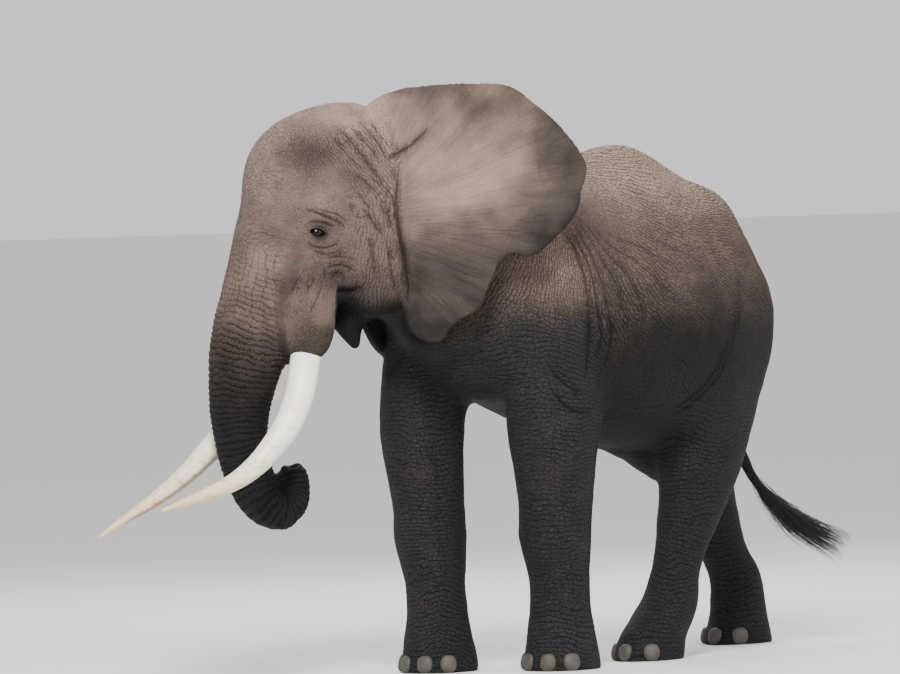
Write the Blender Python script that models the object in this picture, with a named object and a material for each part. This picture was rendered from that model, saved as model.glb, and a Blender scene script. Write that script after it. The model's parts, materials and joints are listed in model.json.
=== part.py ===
"""An African bush elephant bull with long tusks, standing still, as solids that meet with thin gaps.

The flesh is a set of named masses blended into each other. It is made whole, then parted by
plain cutters into the regions that a person would name.
"""

import math

import bmesh
import bpy
import numpy as np
from mathutils import Matrix, Vector

GAP = 0.0005  # between neighbours
WELD = 2e-5  # corners closer than this are one
SKIN_VOXEL = 0.05
SKIN_TRIANGLES = 2200  # of the whole flesh, before it is parted
FINE_ROUND_EYE = (0.13, 0.09)  # distances from an eye within which the faces are split again

# ---------------------------------------------------------------- axes and pose
# Lengths are metres. The animal walks towards -Y, its left side is +X and it stands on z = 0.
HEAD_PIVOT = (1.85, -0.35, 2.55)  # forward, left, up: a point between the ears
HEAD_TURN = math.radians(-26)  # towards the animal's right
HEAD_ROLL = math.radians(-6)  # right side down
EAR_SPREAD = {1: math.radians(22), -1: math.radians(38)}  # how far each ear stands off the head


SIDES = {"left": 1, "right": -1}


def spot(forward, left, height):
    """A point of the body from its place forward, to the left and up."""
    return np.array((left, -forward, height), float)


def head_matrix():
    """Carries head measures (left, back, up from the pivot) to the body's frame."""
    place = Matrix.Translation(Vector(spot(*HEAD_PIVOT)))
    return place @ Matrix.Rotation(HEAD_TURN, 4, "Z") @ Matrix.Rotation(HEAD_ROLL, 4, "Y")


HEAD = head_matrix()


def head_spot(forward, left, height):
    """A point of the head, where height is above the ground with the head unrolled."""
    return np.array(HEAD @ Vector(spot(forward, left, height - HEAD_PIVOT[2])))


# ---------------------------------------------------------------- flesh as blended masses
class Tube:
    """A limb round a curved line. Each station is a point and its half sizes: front, back, side.

    front lies towards `facing`, side is square to it. A pinch over 2 fills the section out,
    and one under 2 draws it in towards a diamond.
    """

    def __init__(self, stations, facing, blend, sides=(2.0, 2.0), step=0.05):
        rows = smooth_rows(np.array([[*point, *sizes] for point, *sizes in stations]), step)
        self.line, self.half = rows[:, :3], rows[:, 3:]
        self.blend, self.sides = blend, sides
        along = np.gradient(self.line, axis=0)
        self.along = along / np.linalg.norm(along, axis=1, keepdims=True)
        facing = np.array(facing, float)
        ahead = facing - self.along * (self.along @ facing)[:, None]
        self.ahead = ahead / np.linalg.norm(ahead, axis=1, keepdims=True)
        self.across = np.cross(self.along, self.ahead)
        self.low, self.high = box_round(self.seeds(), blend)

    def distance(self, points):
        """Signed distance along the ray from the tube's own line."""
        square = (self.line**2).sum(1) - 2 * points @ self.line.T
        near = square.argmin(1)
        gap = np.linalg.norm(np.diff(self.line, axis=0), axis=1).mean()
        place = near + ((points - self.line[near]) * self.along[near]).sum(1) / gap
        place = place.clip(0, len(self.line) - 1)
        first = place.astype(int).clip(0, len(self.line) - 2)
        part = (place - first)[:, None]

        def between(rows):
            return rows[first] * (1 - part) + rows[first + 1] * part

        off, half = points - between(self.line), between(self.half)
        ahead = (off * between(self.ahead)).sum(1)
        across = np.abs((off * between(self.across)).sum(1))
        over = np.abs((off * between(self.along)).sum(1))
        depth = np.where(ahead > 0, half[:, 0], half[:, 1])
        pinch = np.where(ahead > 0, *self.sides)
        share = (np.abs(ahead) / depth) ** pinch + (across / half[:, 2]) ** pinch
        share = share ** (2 / pinch) + (over / half.mean(1)) ** 2
        return radial(off, np.sqrt(share), half.min(1))

    def seeds(self):
        """Matrices of the unit balls that fill the tube."""
        step = max(1, int(0.2 * self.half[:, 2].mean() / 0.05))
        for i in [*range(0, len(self.line), step), len(self.line) - 1]:
            front, back, side = self.half[i]
            middle = self.line[i] + self.ahead[i] * (front - back) / 2
            depth = (front + back) / 2
            axes = [self.ahead[i] * depth, self.across[i] * side, self.along[i] * min(depth, side)]
            yield ball_matrix(middle, axes)


class Lump:
    """A turned ellipsoid of half sizes (forward, side, up). A hollow is cut away instead."""

    def __init__(self, centre, sizes, blend, pitch=0.0, yaw=0.0, roll=0.0, frame=None, hollow=False):
        turn = Matrix.Rotation(yaw, 3, "Z") @ Matrix.Rotation(pitch, 3, "X")
        turn = turn @ Matrix.Rotation(roll, 3, "Y")
        if frame is not None:
            turn = frame.to_3x3() @ turn
        self.centre, self.turn = np.array(centre, float), np.array(turn)
        self.sizes = np.array((sizes[1], sizes[0], sizes[2]))
        self.blend, self.hollow = blend, hollow
        self.low, self.high = box_round([self.ball()], blend)

    def distance(self, points):
        off = (points - self.centre) @ self.turn
        return radial(off, np.linalg.norm(off / self.sizes, axis=1), self.sizes.min())

    def ball(self):
        return ball_matrix(self.centre, [axis * size for axis, size in zip(self.turn.T, self.sizes)])

    def seeds(self):
        return [] if self.hollow else [self.ball()]


def radial(off, share, least):
    """Distance from a surface where share is 1, measured along off."""
    length = np.linalg.norm(off, axis=1)
    safe = np.maximum(share, 1e-6)
    return np.where(share < 0.05, -least, length * (1 - 1 / safe))


def ball_matrix(centre, axes):
    made = Matrix.Identity(4)
    for column, axis in enumerate(axes):
        made.col[column] = (*axis, 0)
    made.col[3] = (*centre, 1)
    if made.determinant() < 0:
        made.col[2] = -made.col[2]
    return made


def box_round(balls, blend):
    """Lowest and highest corners of a box that holds the balls, with room to blend."""
    reach = blend + 0.06
    balls = [np.array(ball) for ball in balls]
    middle = np.array([ball[:3, 3] for ball in balls])
    half = np.array([np.linalg.norm(ball[:3, :3], axis=1) for ball in balls])
    return (middle - half).min(0) - reach, (middle + half).max(0) + reach


def smooth_rows(keys, step):
    """Rows along a Catmull-Rom curve through the keys, about a step apart by the first three columns."""
    ends = np.vstack([2 * keys[0] - keys[1], keys, 2 * keys[-1] - keys[-2]])
    fine = []
    for a, b, c, d in zip(ends, ends[1:], ends[2:], ends[3:]):
        for t in np.linspace(0, 1, 24, endpoint=False):
            fine.append(0.5 * (2 * b + (c - a) * t + (2 * a - 5 * b + 4 * c - d) * t**2
                               + (3 * b - a - 3 * c + d) * t**3))
    fine = np.array([*fine, keys[-1]])
    run = np.concatenate([[0], np.linalg.norm(np.diff(fine[:, :3], axis=0), axis=1).cumsum()])
    even = np.linspace(0, run[-1], max(4, int(run[-1] / step) + 1))
    return np.stack([np.interp(even, run, column) for column in fine.T], axis=1)


def soft_min(a, b, blend):
    near = np.maximum(blend - np.abs(a - b), 0) / blend
    return np.minimum(a, b) - near * near * blend / 4


def flesh_distance(masses, points):
    """Signed distance of points near the skin from the blended masses."""
    found = np.full(len(points), 1.0)
    for mass in masses:
        inside = ((points > mass.low) & (points < mass.high)).all(1)
        if not inside.any():
            continue
        own = mass.distance(points[inside])
        if getattr(mass, "hollow", False):
            found[inside] = -soft_min(-found[inside], own, mass.blend)
        else:
            found[inside] = soft_min(found[inside], own, mass.blend)
    return found


# ---------------------------------------------------------------- torso
def torso_masses():
    level = 2.05  # height of the widest line of the barrel
    outline = (  # forward, height of the back, height of the belly, half width
        (1.38, 2.62, 1.98, 0.26),
        (1.26, 2.88, 1.82, 0.40),
        (1.05, 3.10, 1.70, 0.52),
        (0.78, 3.17, 1.58, 0.61),
        (0.42, 3.05, 1.45, 0.70),
        (0.10, 3.11, 1.36, 0.755),
        (-0.18, 3.15, 1.31, 0.775),
        (-0.45, 3.09, 1.32, 0.76),
        (-0.68, 2.99, 1.39, 0.69),
        (-0.90, 2.89, 1.53, 0.57),
        (-1.07, 2.72, 1.70, 0.44),
        (-1.20, 2.48, 1.88, 0.28),
    )
    stations = [(spot(f, 0, level), back - level, level - belly, wide) for f, back, belly, wide in outline]
    yield Tube(stations, (0, 0, 1), 0.10, sides=(1.75, 2.2))
    # The row of spines along the back, and the hump over the loins.
    yield Tube([
        (spot(1.15, 0, 3.02), 0.10, 0.2, 0.10),
        (spot(0.84, 0, 3.13), 0.12, 0.2, 0.12),
        (spot(0.42, 0, 2.99), 0.09, 0.2, 0.10),
        (spot(0.00, 0, 3.08), 0.10, 0.2, 0.11),
        (spot(-0.28, 0, 3.10), 0.11, 0.2, 0.12),
        (spot(-0.58, 0, 2.98), 0.10, 0.2, 0.11),
        (spot(-0.85, 0, 2.85), 0.08, 0.2, 0.10),
        (spot(-1.12, 0, 2.66), 0.07, 0.2, 0.09),
    ], (0, 0, 1), 0.20)
    for side in (1, -1):
        # Shoulder blade, its muscle and the point of the shoulder.
        yield Lump(spot(0.84, 0.38 * side, 2.52), (0.30, 0.17, 0.52), 0.22, pitch=math.radians(12))
        # Wing of the hip bone, rump muscle and the seat.
        yield Lump(spot(-0.60, 0.33 * side, 2.76), (0.22, 0.16, 0.15), 0.26, pitch=math.radians(20))
        yield Lump(spot(-0.74, 0.32 * side, 2.26), (0.31, 0.28, 0.46), 0.22)
        yield Lump(spot(-0.98, 0.25 * side, 2.00), (0.23, 0.22, 0.38), 0.20)
        # Fold of skin from the flank to the knee.
        yield Lump(spot(-0.52, 0.50 * side, 1.62), (0.24, 0.10, 0.28), 0.20)
    # Between the seat bones, under the root of the tail.
    yield Lump(spot(-1.02, 0, 2.40), (0.22, 0.22, 0.34), 0.20)
    yield Lump(spot(-0.92, 0, 1.98), (0.24, 0.22, 0.46), 0.20)
    # Breastbone between the forelegs, and the sheath under the belly.
    yield Lump(spot(1.14, 0, 1.98), (0.30, 0.26, 0.28), 0.16)
    yield Tube([
        (spot(-0.22, 0, 1.36), 0.10, 0.10, 0.09),
        (spot(-0.42, 0, 1.25), 0.12, 0.12, 0.085),
        (spot(-0.56, 0, 1.15), 0.09, 0.09, 0.065),
    ], (1, 0, 0), 0.10)


TAIL_LINE = (  # forward, left, height, half thickness
    (-1.08, 0.00, 2.68, 0.095),
    (-1.20, 0.00, 2.50, 0.075),
    (-1.26, 0.00, 2.28, 0.060),
    (-1.29, 0.00, 2.00, 0.050),
    (-1.28, 0.00, 1.70, 0.042),
    (-1.30, 0.01, 1.42, 0.037),
    (-1.37, 0.03, 1.17, 0.033),
    (-1.50, 0.09, 0.96, 0.029),
    (-1.66, 0.17, 0.81, 0.025),
)


def tail_masses():
    """Only the root of the tail; the rest is a tube of its own."""
    yield Tube([(spot(f, l, h), r, r, r) for f, l, h, r in TAIL_LINE[:3]], (1, 0, 0), 0.12)


# ---------------------------------------------------------------- legs
def foreleg_masses(side, shoulder, elbow, wrist, foot, behind):
    """A foreleg. Each joint is (forward, left); behind is how full the leg is at the back of the elbow."""
    def at(place, height):
        return spot(place[0], place[1] * side, height)

    def mix(a, b, part):
        return (a[0] * (1 - part) + b[0] * part, a[1] * (1 - part) + b[1] * part)

    yield Tube([
        (at(shoulder, 2.30), 0.30, 0.30, 0.20),
        (at(mix(shoulder, elbow, 0.5), 1.95), 0.31, 0.33, 0.23),
        (at(mix(shoulder, elbow, 0.9), 1.66), 0.31, 0.34 * behind, 0.260),
        (at(elbow, 1.45), 0.30, 0.32 * behind, 0.265),
        (at(mix(elbow, wrist, 0.45), 1.18), 0.25, 0.13 + 0.125 * behind, 0.240),
        (at(wrist, 0.86), 0.215, 0.215, 0.210),
        (at(mix(wrist, foot, 0.35), 0.62), 0.190, 0.195, 0.190),
        (at(mix(wrist, foot, 0.65), 0.38), 0.195, 0.190, 0.190),
        (at(mix(wrist, foot, 0.90), 0.17), 0.232, 0.212, 0.220),
        (at(foot, 0.03), 0.255, 0.230, 0.240),
        (at(foot, -0.12), 0.255, 0.230, 0.240),
    ], (0, -1, 0), 0.12)
    # Point of the elbow and the swelling over the wrist.
    yield Lump(at((elbow[0] - 0.20 * behind, elbow[1] - 0.02), 1.60), (0.15 * behind, 0.13, 0.22), 0.16)
    yield Lump(at((wrist[0] + 0.05, wrist[1]), 0.82), (0.15, 0.14, 0.20), 0.16)


def hindleg_masses(side, hip, knee, heel, foot):
    """A hind leg, slimmer below than a foreleg, with the knee low and the heel behind."""
    def at(place, height):
        return spot(place[0], place[1] * side, height)

    def mix(a, b, part):
        return (a[0] * (1 - part) + b[0] * part, a[1] * (1 - part) + b[1] * part)

    yield Tube([
        (at(hip, 2.20), 0.34, 0.34, 0.25),
        (at(mix(hip, knee, 0.30), 1.86), 0.37, 0.38, 0.255),
        (at(mix(hip, knee, 0.65), 1.50), 0.33, 0.34, 0.250),
        (at(knee, 1.16), 0.265, 0.285, 0.230),
        (at(mix(knee, heel, 0.42), 0.84), 0.185, 0.208, 0.180),
        (at(mix(knee, heel, 0.76), 0.58), 0.128, 0.172, 0.150),
        (at(heel, 0.40), 0.122, 0.175, 0.150),
        (at(mix(heel, foot, 0.6), 0.20), 0.178, 0.198, 0.180),
        (at(foot, 0.03), 0.262, 0.225, 0.205),
        (at(foot, -0.12), 0.262, 0.225, 0.205),
    ], (0, -1, 0), 0.12)
    # Kneecap, calf and heel.
    yield Lump(at((knee[0] + 0.10, knee[1] + 0.01), 1.20), (0.15, 0.13, 0.17), 0.12)
    yield Lump(at((heel[0] - 0.08, heel[1]), 0.36), (0.11, 0.11, 0.18), 0.14)


FORE_FEET = {"left": (0.81, 0.34), "right": (1.19, 0.34)}  # forward, and off the middle
HIND_FEET = {"left": (-0.09, 0.28), "right": (-1.61, 0.27)}


def leg_masses():
    yield from foreleg_masses(1, (0.97, 0.36), (0.92, 0.41), (0.875, 0.375), FORE_FEET["left"], 1.0)
    yield from foreleg_masses(-1, (1.16, 0.36), (1.20, 0.40), (1.20, 0.37), FORE_FEET["right"], 0.60)
    yield from hindleg_masses(1, (-0.86, 0.32), (-0.53, 0.34), (-0.26, 0.29), HIND_FEET["left"])
    yield from hindleg_masses(-1, (-0.92, 0.32), (-1.28, 0.34), (-1.585, 0.29), HIND_FEET["right"])


# ---------------------------------------------------------------- head and trunk
TRUNK_LINE = (  # forward, left, height, half depth, half width
    (0.31, 0.00, 2.95, 0.315, 0.31),
    (0.43, 0.00, 2.75, 0.315, 0.315),
    (0.52, 0.00, 2.55, 0.292, 0.292),
    (0.61, -0.01, 2.33, 0.268, 0.265),
    (0.695, -0.03, 2.12, 0.249, 0.248),
    (0.753, -0.055, 1.90, 0.214, 0.226),
    (0.783, -0.08, 1.70, 0.186, 0.200),
    (0.778, -0.105, 1.50, 0.161, 0.174),
    (0.742, -0.125, 1.32, 0.154, 0.160),
    (0.695, -0.14, 1.18, 0.141, 0.147),
    (0.62, -0.15, 1.095, 0.131, 0.137),
    (0.53, -0.155, 1.075, 0.119, 0.127),
    (0.46, -0.155, 1.115, 0.108, 0.118),
    (0.435, -0.155, 1.19, 0.100, 0.110),
    (0.44, -0.155, 1.255, 0.096, 0.106),
)


def trunk_stations():
    return [(head_spot(f, l, h), depth, depth, wide) for f, l, h, depth, wide in TRUNK_LINE]


def ahead_of_head():
    return np.array(HEAD.to_3x3() @ Vector((0, -1, 0)))


def head_masses():
    def lump(forward, left, height, sizes, blend, **turns):
        return Lump(head_spot(forward, left, height), sizes, blend, frame=HEAD, **turns)

    yield lump(0.05, 0.02, 3.05, (0.49, 0.38, 0.497), 0.12)  # braincase and crown
    yield lump(0.335, 0.01, 3.085, (0.33, 0.32, 0.33), 0.18)  # forehead
    yield lump(-0.22, 0, 2.85, (0.38, 0.38, 0.50), 0.15)  # back of the skull
    yield Tube(trunk_stations(), (*ahead_of_head(),), 0.12)
    yield Tube([
        (head_spot(-0.10, 0, 2.50), 0.22, 0.22, 0.24),
        (head_spot(0.02, 0, 2.32), 0.15, 0.17, 0.17),
        (head_spot(0.06, 0, 2.18), 0.09, 0.10, 0.10),
        (head_spot(0.035, 0, 2.06), 0.05, 0.05, 0.055),
    ], (0, 0, 1), 0.08)  # lower jaw down to the hanging lip
    for side in (1, -1):
        yield lump(0.10, 0.25 * side, 2.74, (0.34, 0.17, 0.30), 0.14)  # cheekbone
        yield lump(0.38, 0.27 * side, 2.84, (0.17, 0.10, 0.075), 0.10, pitch=math.radians(-12))  # brow
        yield lump(-0.06, 0.23 * side, 2.46, (0.24, 0.15, 0.27), 0.12)  # jaw muscle
        yield Tube([
            (head_spot(0.36, 0.20 * side, 2.66), 0.18, 0.18, 0.17),
            (head_spot(0.42, 0.24 * side, 2.36), 0.17, 0.18, 0.165),
            (head_spot(0.43, 0.265 * side, 2.14), 0.150, 0.165, 0.150),
            (head_spot(0.435, 0.27 * side, 2.06), 0.125, 0.14, 0.125),
        ], (*ahead_of_head(),), 0.20)  # sheath of the tusk
        yield Tube([
            (head_spot(0.02, 0.16 * side, 3.20), 0.18, 0.18, 0.15),
            (head_spot(-0.06, 0.29 * side, 3.25), 0.15, 0.18, 0.12),
            (head_spot(-0.14, 0.40 * side, 3.28), 0.13, 0.16, 0.06),
        ], (0, 0, 1), 0.12)  # muscle that lifts the ear
        yield Tube([
            (head_spot(-0.12, 0.33 * side, 3.20), 0.10, 0.10, 0.08),
            (head_spot(-0.12, 0.37 * side, 2.90), 0.12, 0.12, 0.07),
            (head_spot(-0.11, 0.36 * side, 2.60), 0.11, 0.11, 0.06),
            (head_spot(-0.10, 0.30 * side, 2.35), 0.08, 0.08, 0.05),
        ], (*ahead_of_head(),), 0.10)  # root of the ear
        yield lump(0.27, 0.41 * side, 3.18, (0.17, 0.10, 0.14), 0.16, hollow=True)  # temple
        yield lump(0.365, 0.40 * side, 2.715, (0.08, 0.06, 0.05), 0.06, hollow=True)  # eye socket


def neck_masses():
    yield Tube([
        (head_spot(-0.05, 0, 2.80), 0.46, 0.42, 0.33),
        (spot(1.45, -0.17, 2.68), 0.46, 0.54, 0.37),
        (spot(1.15, -0.03, 2.56), 0.52, 0.68, 0.44),
        (spot(0.85, 0.0, 2.45), 0.58, 0.70, 0.48),
    ], (0, 0, 1), 0.20)


def body_masses():
    """Every mass of flesh but the ears."""
    return [*torso_masses(), *tail_masses(), *leg_masses(), *neck_masses(), *head_masses()]


# ---------------------------------------------------------------- tusks and nails
TUSK_LINES = {  # forward, off the middle, height, half thickness
    1: (
        (0.38, 0.205, 2.28, 0.082), (0.43, 0.235, 2.12, 0.090), (0.452, 0.25, 2.00, 0.093),
        (0.486, 0.262, 1.86, 0.092), (0.537, 0.28, 1.707, 0.090), (0.646, 0.305, 1.525, 0.083),
        (0.822, 0.335, 1.344, 0.070), (1.02, 0.36, 1.215, 0.054), (1.266, 0.385, 1.130, 0.034),
        (1.41, 0.395, 1.087, 0.020), (1.505, 0.40, 1.060, 0.009),
    ),
    -1: (
        (0.37, 0.205, 2.28, 0.082), (0.42, 0.235, 2.12, 0.090), (0.455, 0.25, 2.00, 0.093),
        (0.53, 0.27, 1.845, 0.091), (0.67, 0.295, 1.675, 0.086), (0.85, 0.32, 1.517, 0.077),
        (1.05, 0.34, 1.335, 0.061), (1.25, 0.36, 1.192, 0.046), (1.43, 0.38, 1.088, 0.030),
        (1.54, 0.389, 1.026, 0.020), (1.625, 0.395, 0.970, 0.009),
    ),
}
TUFT_LINE = (  # forward, left, height, half thickness of the brush of long hairs
    (-1.585, 0.13, 0.878, 0.030),
    (-1.675, 0.175, 0.80, 0.048),
    (-1.785, 0.23, 0.735, 0.052),
    (-1.90, 0.285, 0.685, 0.040),
    (-1.97, 0.32, 0.655, 0.020),
)
NAIL_FOOT = 0.004  # the nails end this far off the ground
EYE_RADIUS = 0.038
EYE_SINK = 0.55  # share of its radius that the eye's middle lies under the skin
EYE_PLACE = (0.362, 2.712)  # forward and height on the side of the head
NAIL_SIZE = (0.052, 0.030, 0.055)  # half its width, thickness and height
FORE_NAILS = (-56, -20, 18, 54)  # degrees off straight ahead
HIND_NAILS = (-42, 0, 42)


def soles():
    """(name, middle, half length, half width, nail angles) of each foot."""
    for name, (forward, off) in FORE_FEET.items():
        yield f"fore_{name}", (forward, off * SIDES[name]), 0.2425, 0.240, FORE_NAILS
    for name, (forward, off) in HIND_FEET.items():
        yield f"hind_{name}", (forward, off * SIDES[name]), 0.2435, 0.205, HIND_NAILS


# ---------------------------------------------------------------- ears
EAR_ROOT = (-0.12, 0.40)  # forward and off the middle of the head
EAR_PLATE = 0.03  # thickness before the root is thickened
EAR_HEART = (0.42, 2.92)  # where the rings of the ear centre: back from the root, height
EAR_OUTLINE = (  # back from the root, height, from the foot of the lobe round by the rear
    (0.06, 2.11), (0.14, 2.04), (0.25, 2.03), (0.31, 2.12), (0.45, 2.2), (0.555, 2.33),
    (0.615, 2.48), (0.7, 2.53), (0.82, 2.5), (0.97, 2.59), (1.07, 2.72), (1.15, 2.89),
    (1.19, 3.04), (1.1, 3.21), (0.94, 3.38), (0.76, 3.51), (0.52, 3.57), (0.28, 3.58),
    (0.06, 3.56), (-0.1, 3.49), (-0.14, 3.35), (-0.08, 3.08), (-0.04, 2.73), (0, 2.38),
)


def ear_outline(count):
    """The outline as count points, evenly apart."""
    ring = np.array([*EAR_OUTLINE, *EAR_OUTLINE[:2]])
    rows = smooth_rows(np.column_stack([ring, np.zeros(len(ring))]), 0.004)[:, :2]
    start = np.linalg.norm(rows - ring[1], axis=1)[: len(rows) // 2].argmin()
    rows = rows[start:]
    run = np.concatenate([[0], np.linalg.norm(np.diff(rows, axis=0), axis=1).cumsum()])
    even = np.linspace(0, run[-1], count, endpoint=False)
    return np.stack([np.interp(even, run, column) for column in rows.T], axis=1)


def ear_bend(back, height):
    """How far the middle of the ear stands out from its flat plane."""
    span = np.clip(back / 1.15, 0, 1)
    belly = 0.075 * np.sin(span * math.pi) * np.clip((height - 2.1) / 0.9, 0, 1)
    crest = np.clip((height - 3.33) / 0.28, 0, 1) ** 2
    curl = np.clip((back - 0.80) / 0.38, 0, 1) ** 2
    lobe = np.clip((2.75 - height) / 0.7, 0, 1) ** 2
    ripple = 0.018 * np.sin(9 * height + 3 * back) * span
    return belly - 0.13 * crest - 0.10 * curl - 0.10 * lobe + ripple


def ear_thickness(back):
    return 0.030 + 0.045 * np.exp(-np.maximum(back + 0.02, 0) / 0.10)


def ear_frame(side):
    """Columns are back along the ear, up, and out of its outer face; then its root."""
    spread = EAR_SPREAD[side]
    back = Vector((math.sin(spread) * side, math.cos(spread), 0))
    out = Vector((math.cos(spread) * side, -math.sin(spread), 0))
    turn = HEAD.to_3x3()
    axes = np.array([turn @ back, turn @ Vector((0, 0, 1)), turn @ out])
    return axes, head_spot(EAR_ROOT[0], EAR_ROOT[1] * side, 0)


def make_skin(voxel, passes=4):
    """The masses as one closed mesh with faces about a voxel across."""
    masses = body_masses()
    bm = bmesh.new()
    for mass in masses:
        for matrix in mass.seeds():
            bmesh.ops.create_icosphere(bm, subdivisions=2, radius=1, matrix=matrix)
    rough = new_object("rough", bm)
    modifier = rough.modifiers.new("whole", "REMESH")
    modifier.mode = "VOXEL"
    modifier.voxel_size = voxel
    modifier.adaptivity = 0
    graph = bpy.context.evaluated_depsgraph_get()
    mesh = bpy.data.meshes.new_from_object(rough.evaluated_get(graph))
    bpy.data.objects.remove(rough)
    settle(mesh, masses, passes)
    skin = bpy.data.objects.new("skin", mesh)
    bpy.context.scene.collection.objects.link(skin)
    return skin


def settle(mesh, masses, passes, lattice=0.035):
    """Moves the mesh onto the blended masses, evening its vertices out as it goes."""
    points = np.empty(len(mesh.vertices) * 3)
    mesh.vertices.foreach_get("co", points)
    points = points.reshape(-1, 3)
    ends = np.empty(len(mesh.edges) * 2, int)
    mesh.edges.foreach_get("vertices", ends)
    ends = ends.reshape(-1, 2)
    share = np.bincount(ends.ravel(), minlength=len(points))[:, None]
    field = Field(masses, points, lattice)
    for turn in range(passes):
        sums = np.zeros_like(points)
        for axis in range(3):
            sums[:, axis] = np.bincount(ends[:, 0], points[ends[:, 1], axis], len(points))
            sums[:, axis] += np.bincount(ends[:, 1], points[ends[:, 0], axis], len(points))
        if turn < passes - 1:
            points += 0.5 * (sums / share - points)
        points = onto_flesh(field, points)
    mesh.vertices.foreach_set("co", points.ravel())
    mesh.update()


class Field:
    """The signed distance of the flesh, kept on a lattice of points near a mesh."""

    def __init__(self, masses, near, step, band=0.16):
        self.low, self.step = near.min(0) - band - 2 * step, step
        shape = ((near.max(0) + band + 2 * step - self.low) / step).astype(int) + 2
        close = np.zeros(shape, bool)
        close[tuple(((near - self.low) / step).round().astype(int).T)] = True
        for _ in range(int(band / step) + 1):
            grown = close.copy()
            for axis in range(3):
                grown |= np.roll(close, 1, axis) | np.roll(close, -1, axis)
            close = grown
        self.value = np.full(shape, 0.0)
        places = np.argwhere(close)
        self.value[close] = flesh_distance(masses, self.low + places * step)

    def look(self, points):
        """Distance and slope at the points."""
        place = (points - self.low) / self.step
        cell = place.astype(int)
        x, y, z = (place - cell).T
        corner = {}
        for i in (0, 1):
            for j in (0, 1):
                for k in (0, 1):
                    corner[i, j, k] = self.value[cell[:, 0] + i, cell[:, 1] + j, cell[:, 2] + k]
        low = {(i, j): corner[i, j, 0] * (1 - z) + corner[i, j, 1] * z for i in (0, 1) for j in (0, 1)}
        rise = {(i, j): corner[i, j, 1] - corner[i, j, 0] for i in (0, 1) for j in (0, 1)}
        row = [low[i, 0] * (1 - y) + low[i, 1] * y for i in (0, 1)]
        found = row[0] * (1 - x) + row[1] * x
        slope_x = row[1] - row[0]
        slope_y = (low[0, 1] - low[0, 0]) * (1 - x) + (low[1, 1] - low[1, 0]) * x
        up = [rise[i, 0] * (1 - y) + rise[i, 1] * y for i in (0, 1)]
        slope_z = up[0] * (1 - x) + up[1] * x
        return found, np.stack([slope_x, slope_y, slope_z], axis=1) / self.step


def onto_flesh(field, points, steps=2):
    for _ in range(steps):
        here, slope = field.look(points)
        steep = np.maximum((slope**2).sum(1), 0.3)
        points = points - slope * (np.clip(here, -0.06, 0.06) / steep)[:, None]
    return points


def face_outwards(bm):
    bmesh.ops.recalc_face_normals(bm, faces=bm.faces)
    if bm.calc_volume(signed=True) < 0:
        bmesh.ops.reverse_faces(bm, faces=bm.faces)


def new_object(name, bm):
    mesh = bpy.data.meshes.new(name)
    bm.to_mesh(mesh)
    bm.free()
    made = bpy.data.objects.new(name, mesh)
    bpy.context.scene.collection.objects.link(made)
    return made


def make_ear_sheet(name, side, rings, spokes):
    bm = bmesh.new()
    line = [bm.verts.new((ring / rings, 0, 0)) for ring in range(rings + 1)]
    edges = [bm.edges.new(pair) for pair in zip(line, line[1:])]
    bmesh.ops.spin(bm, geom=[*line, *edges], cent=(0, 0, 0), axis=(0, 0, 1), angle=2 * math.pi,
                   steps=spokes, use_merge=True, use_duplicate=False)
    bmesh.ops.remove_doubles(bm, verts=bm.verts, dist=1e-5)
    bmesh.ops.recalc_face_normals(bm, faces=bm.faces)
    edge = ear_outline(spokes)
    axes, root = ear_frame(side)
    for vert in bm.verts:
        ring = math.hypot(vert.co.x, vert.co.y)
        spoke = math.atan2(vert.co.y, vert.co.x) / (2 * math.pi) * spokes
        rim = edge[round(spoke) % spokes]
        back, height = np.array(EAR_HEART) + (rim - EAR_HEART) * ring
        out = ear_bend(back, height)
        vert.co = root + back * axes[0] + height * axes[1] + out * axes[2]
    bmesh.ops.recalc_face_normals(bm, faces=bm.faces)
    bm.normal_update()
    outer = set(bm.verts)
    bmesh.ops.solidify(bm, geom=bm.faces, thickness=EAR_PLATE)
    for vert in bm.verts:
        back, height, _ = axes @ (np.array(vert.co) - root)
        half = ear_thickness(back) / 2
        out = ear_bend(back, height) + (half if vert in outer else -half)
        vert.co = root + back * axes[0] + height * axes[1] + out * axes[2]
    face_outwards(bm)
    return new_object(name, bm)


# ---------------------------------------------------------------- cutters and cuts
def prism(outline, depth, frame=None):
    """A flat outline of points, pushed out along depth into a closed block."""
    bm = bmesh.new()
    face = bm.faces.new([bm.verts.new(point) for point in outline])
    moved = bmesh.ops.extrude_face_region(bm, geom=[face])["geom"]
    moved = [item for item in moved if isinstance(item, bmesh.types.BMVert)]
    bmesh.ops.translate(bm, verts=moved, vec=depth)
    if frame is not None:
        bm.transform(frame)
    face_outwards(bm)
    return new_object("cutter", bm)


def slab(forward, left, up):
    """A box from its ranges forward, to the left and up."""
    return side_prism([(f, u) for f, u in zip((*forward, *reversed(forward)), np.repeat(up, 2))], left)


def side_prism(outline, left):
    """An outline of (forward, up) pushed across the body."""
    return prism([spot(f, left[0], u) for f, u in outline], (left[1] - left[0], 0, 0))


def head_prism(outline, left):
    """An outline of (forward, up) in the head's own frame, pushed across the head."""
    points = [spot(f, left[0], u - HEAD_PIVOT[2]) for f, u in outline]
    return prism(points, (left[1] - left[0], 0, 0), HEAD)


def front_prism(outline, forward):
    """An outline of (left, up) pushed along the body."""
    return prism([spot(forward[0], l, u) for l, u in outline], spot(forward[1] - forward[0], 0, 0))


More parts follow.
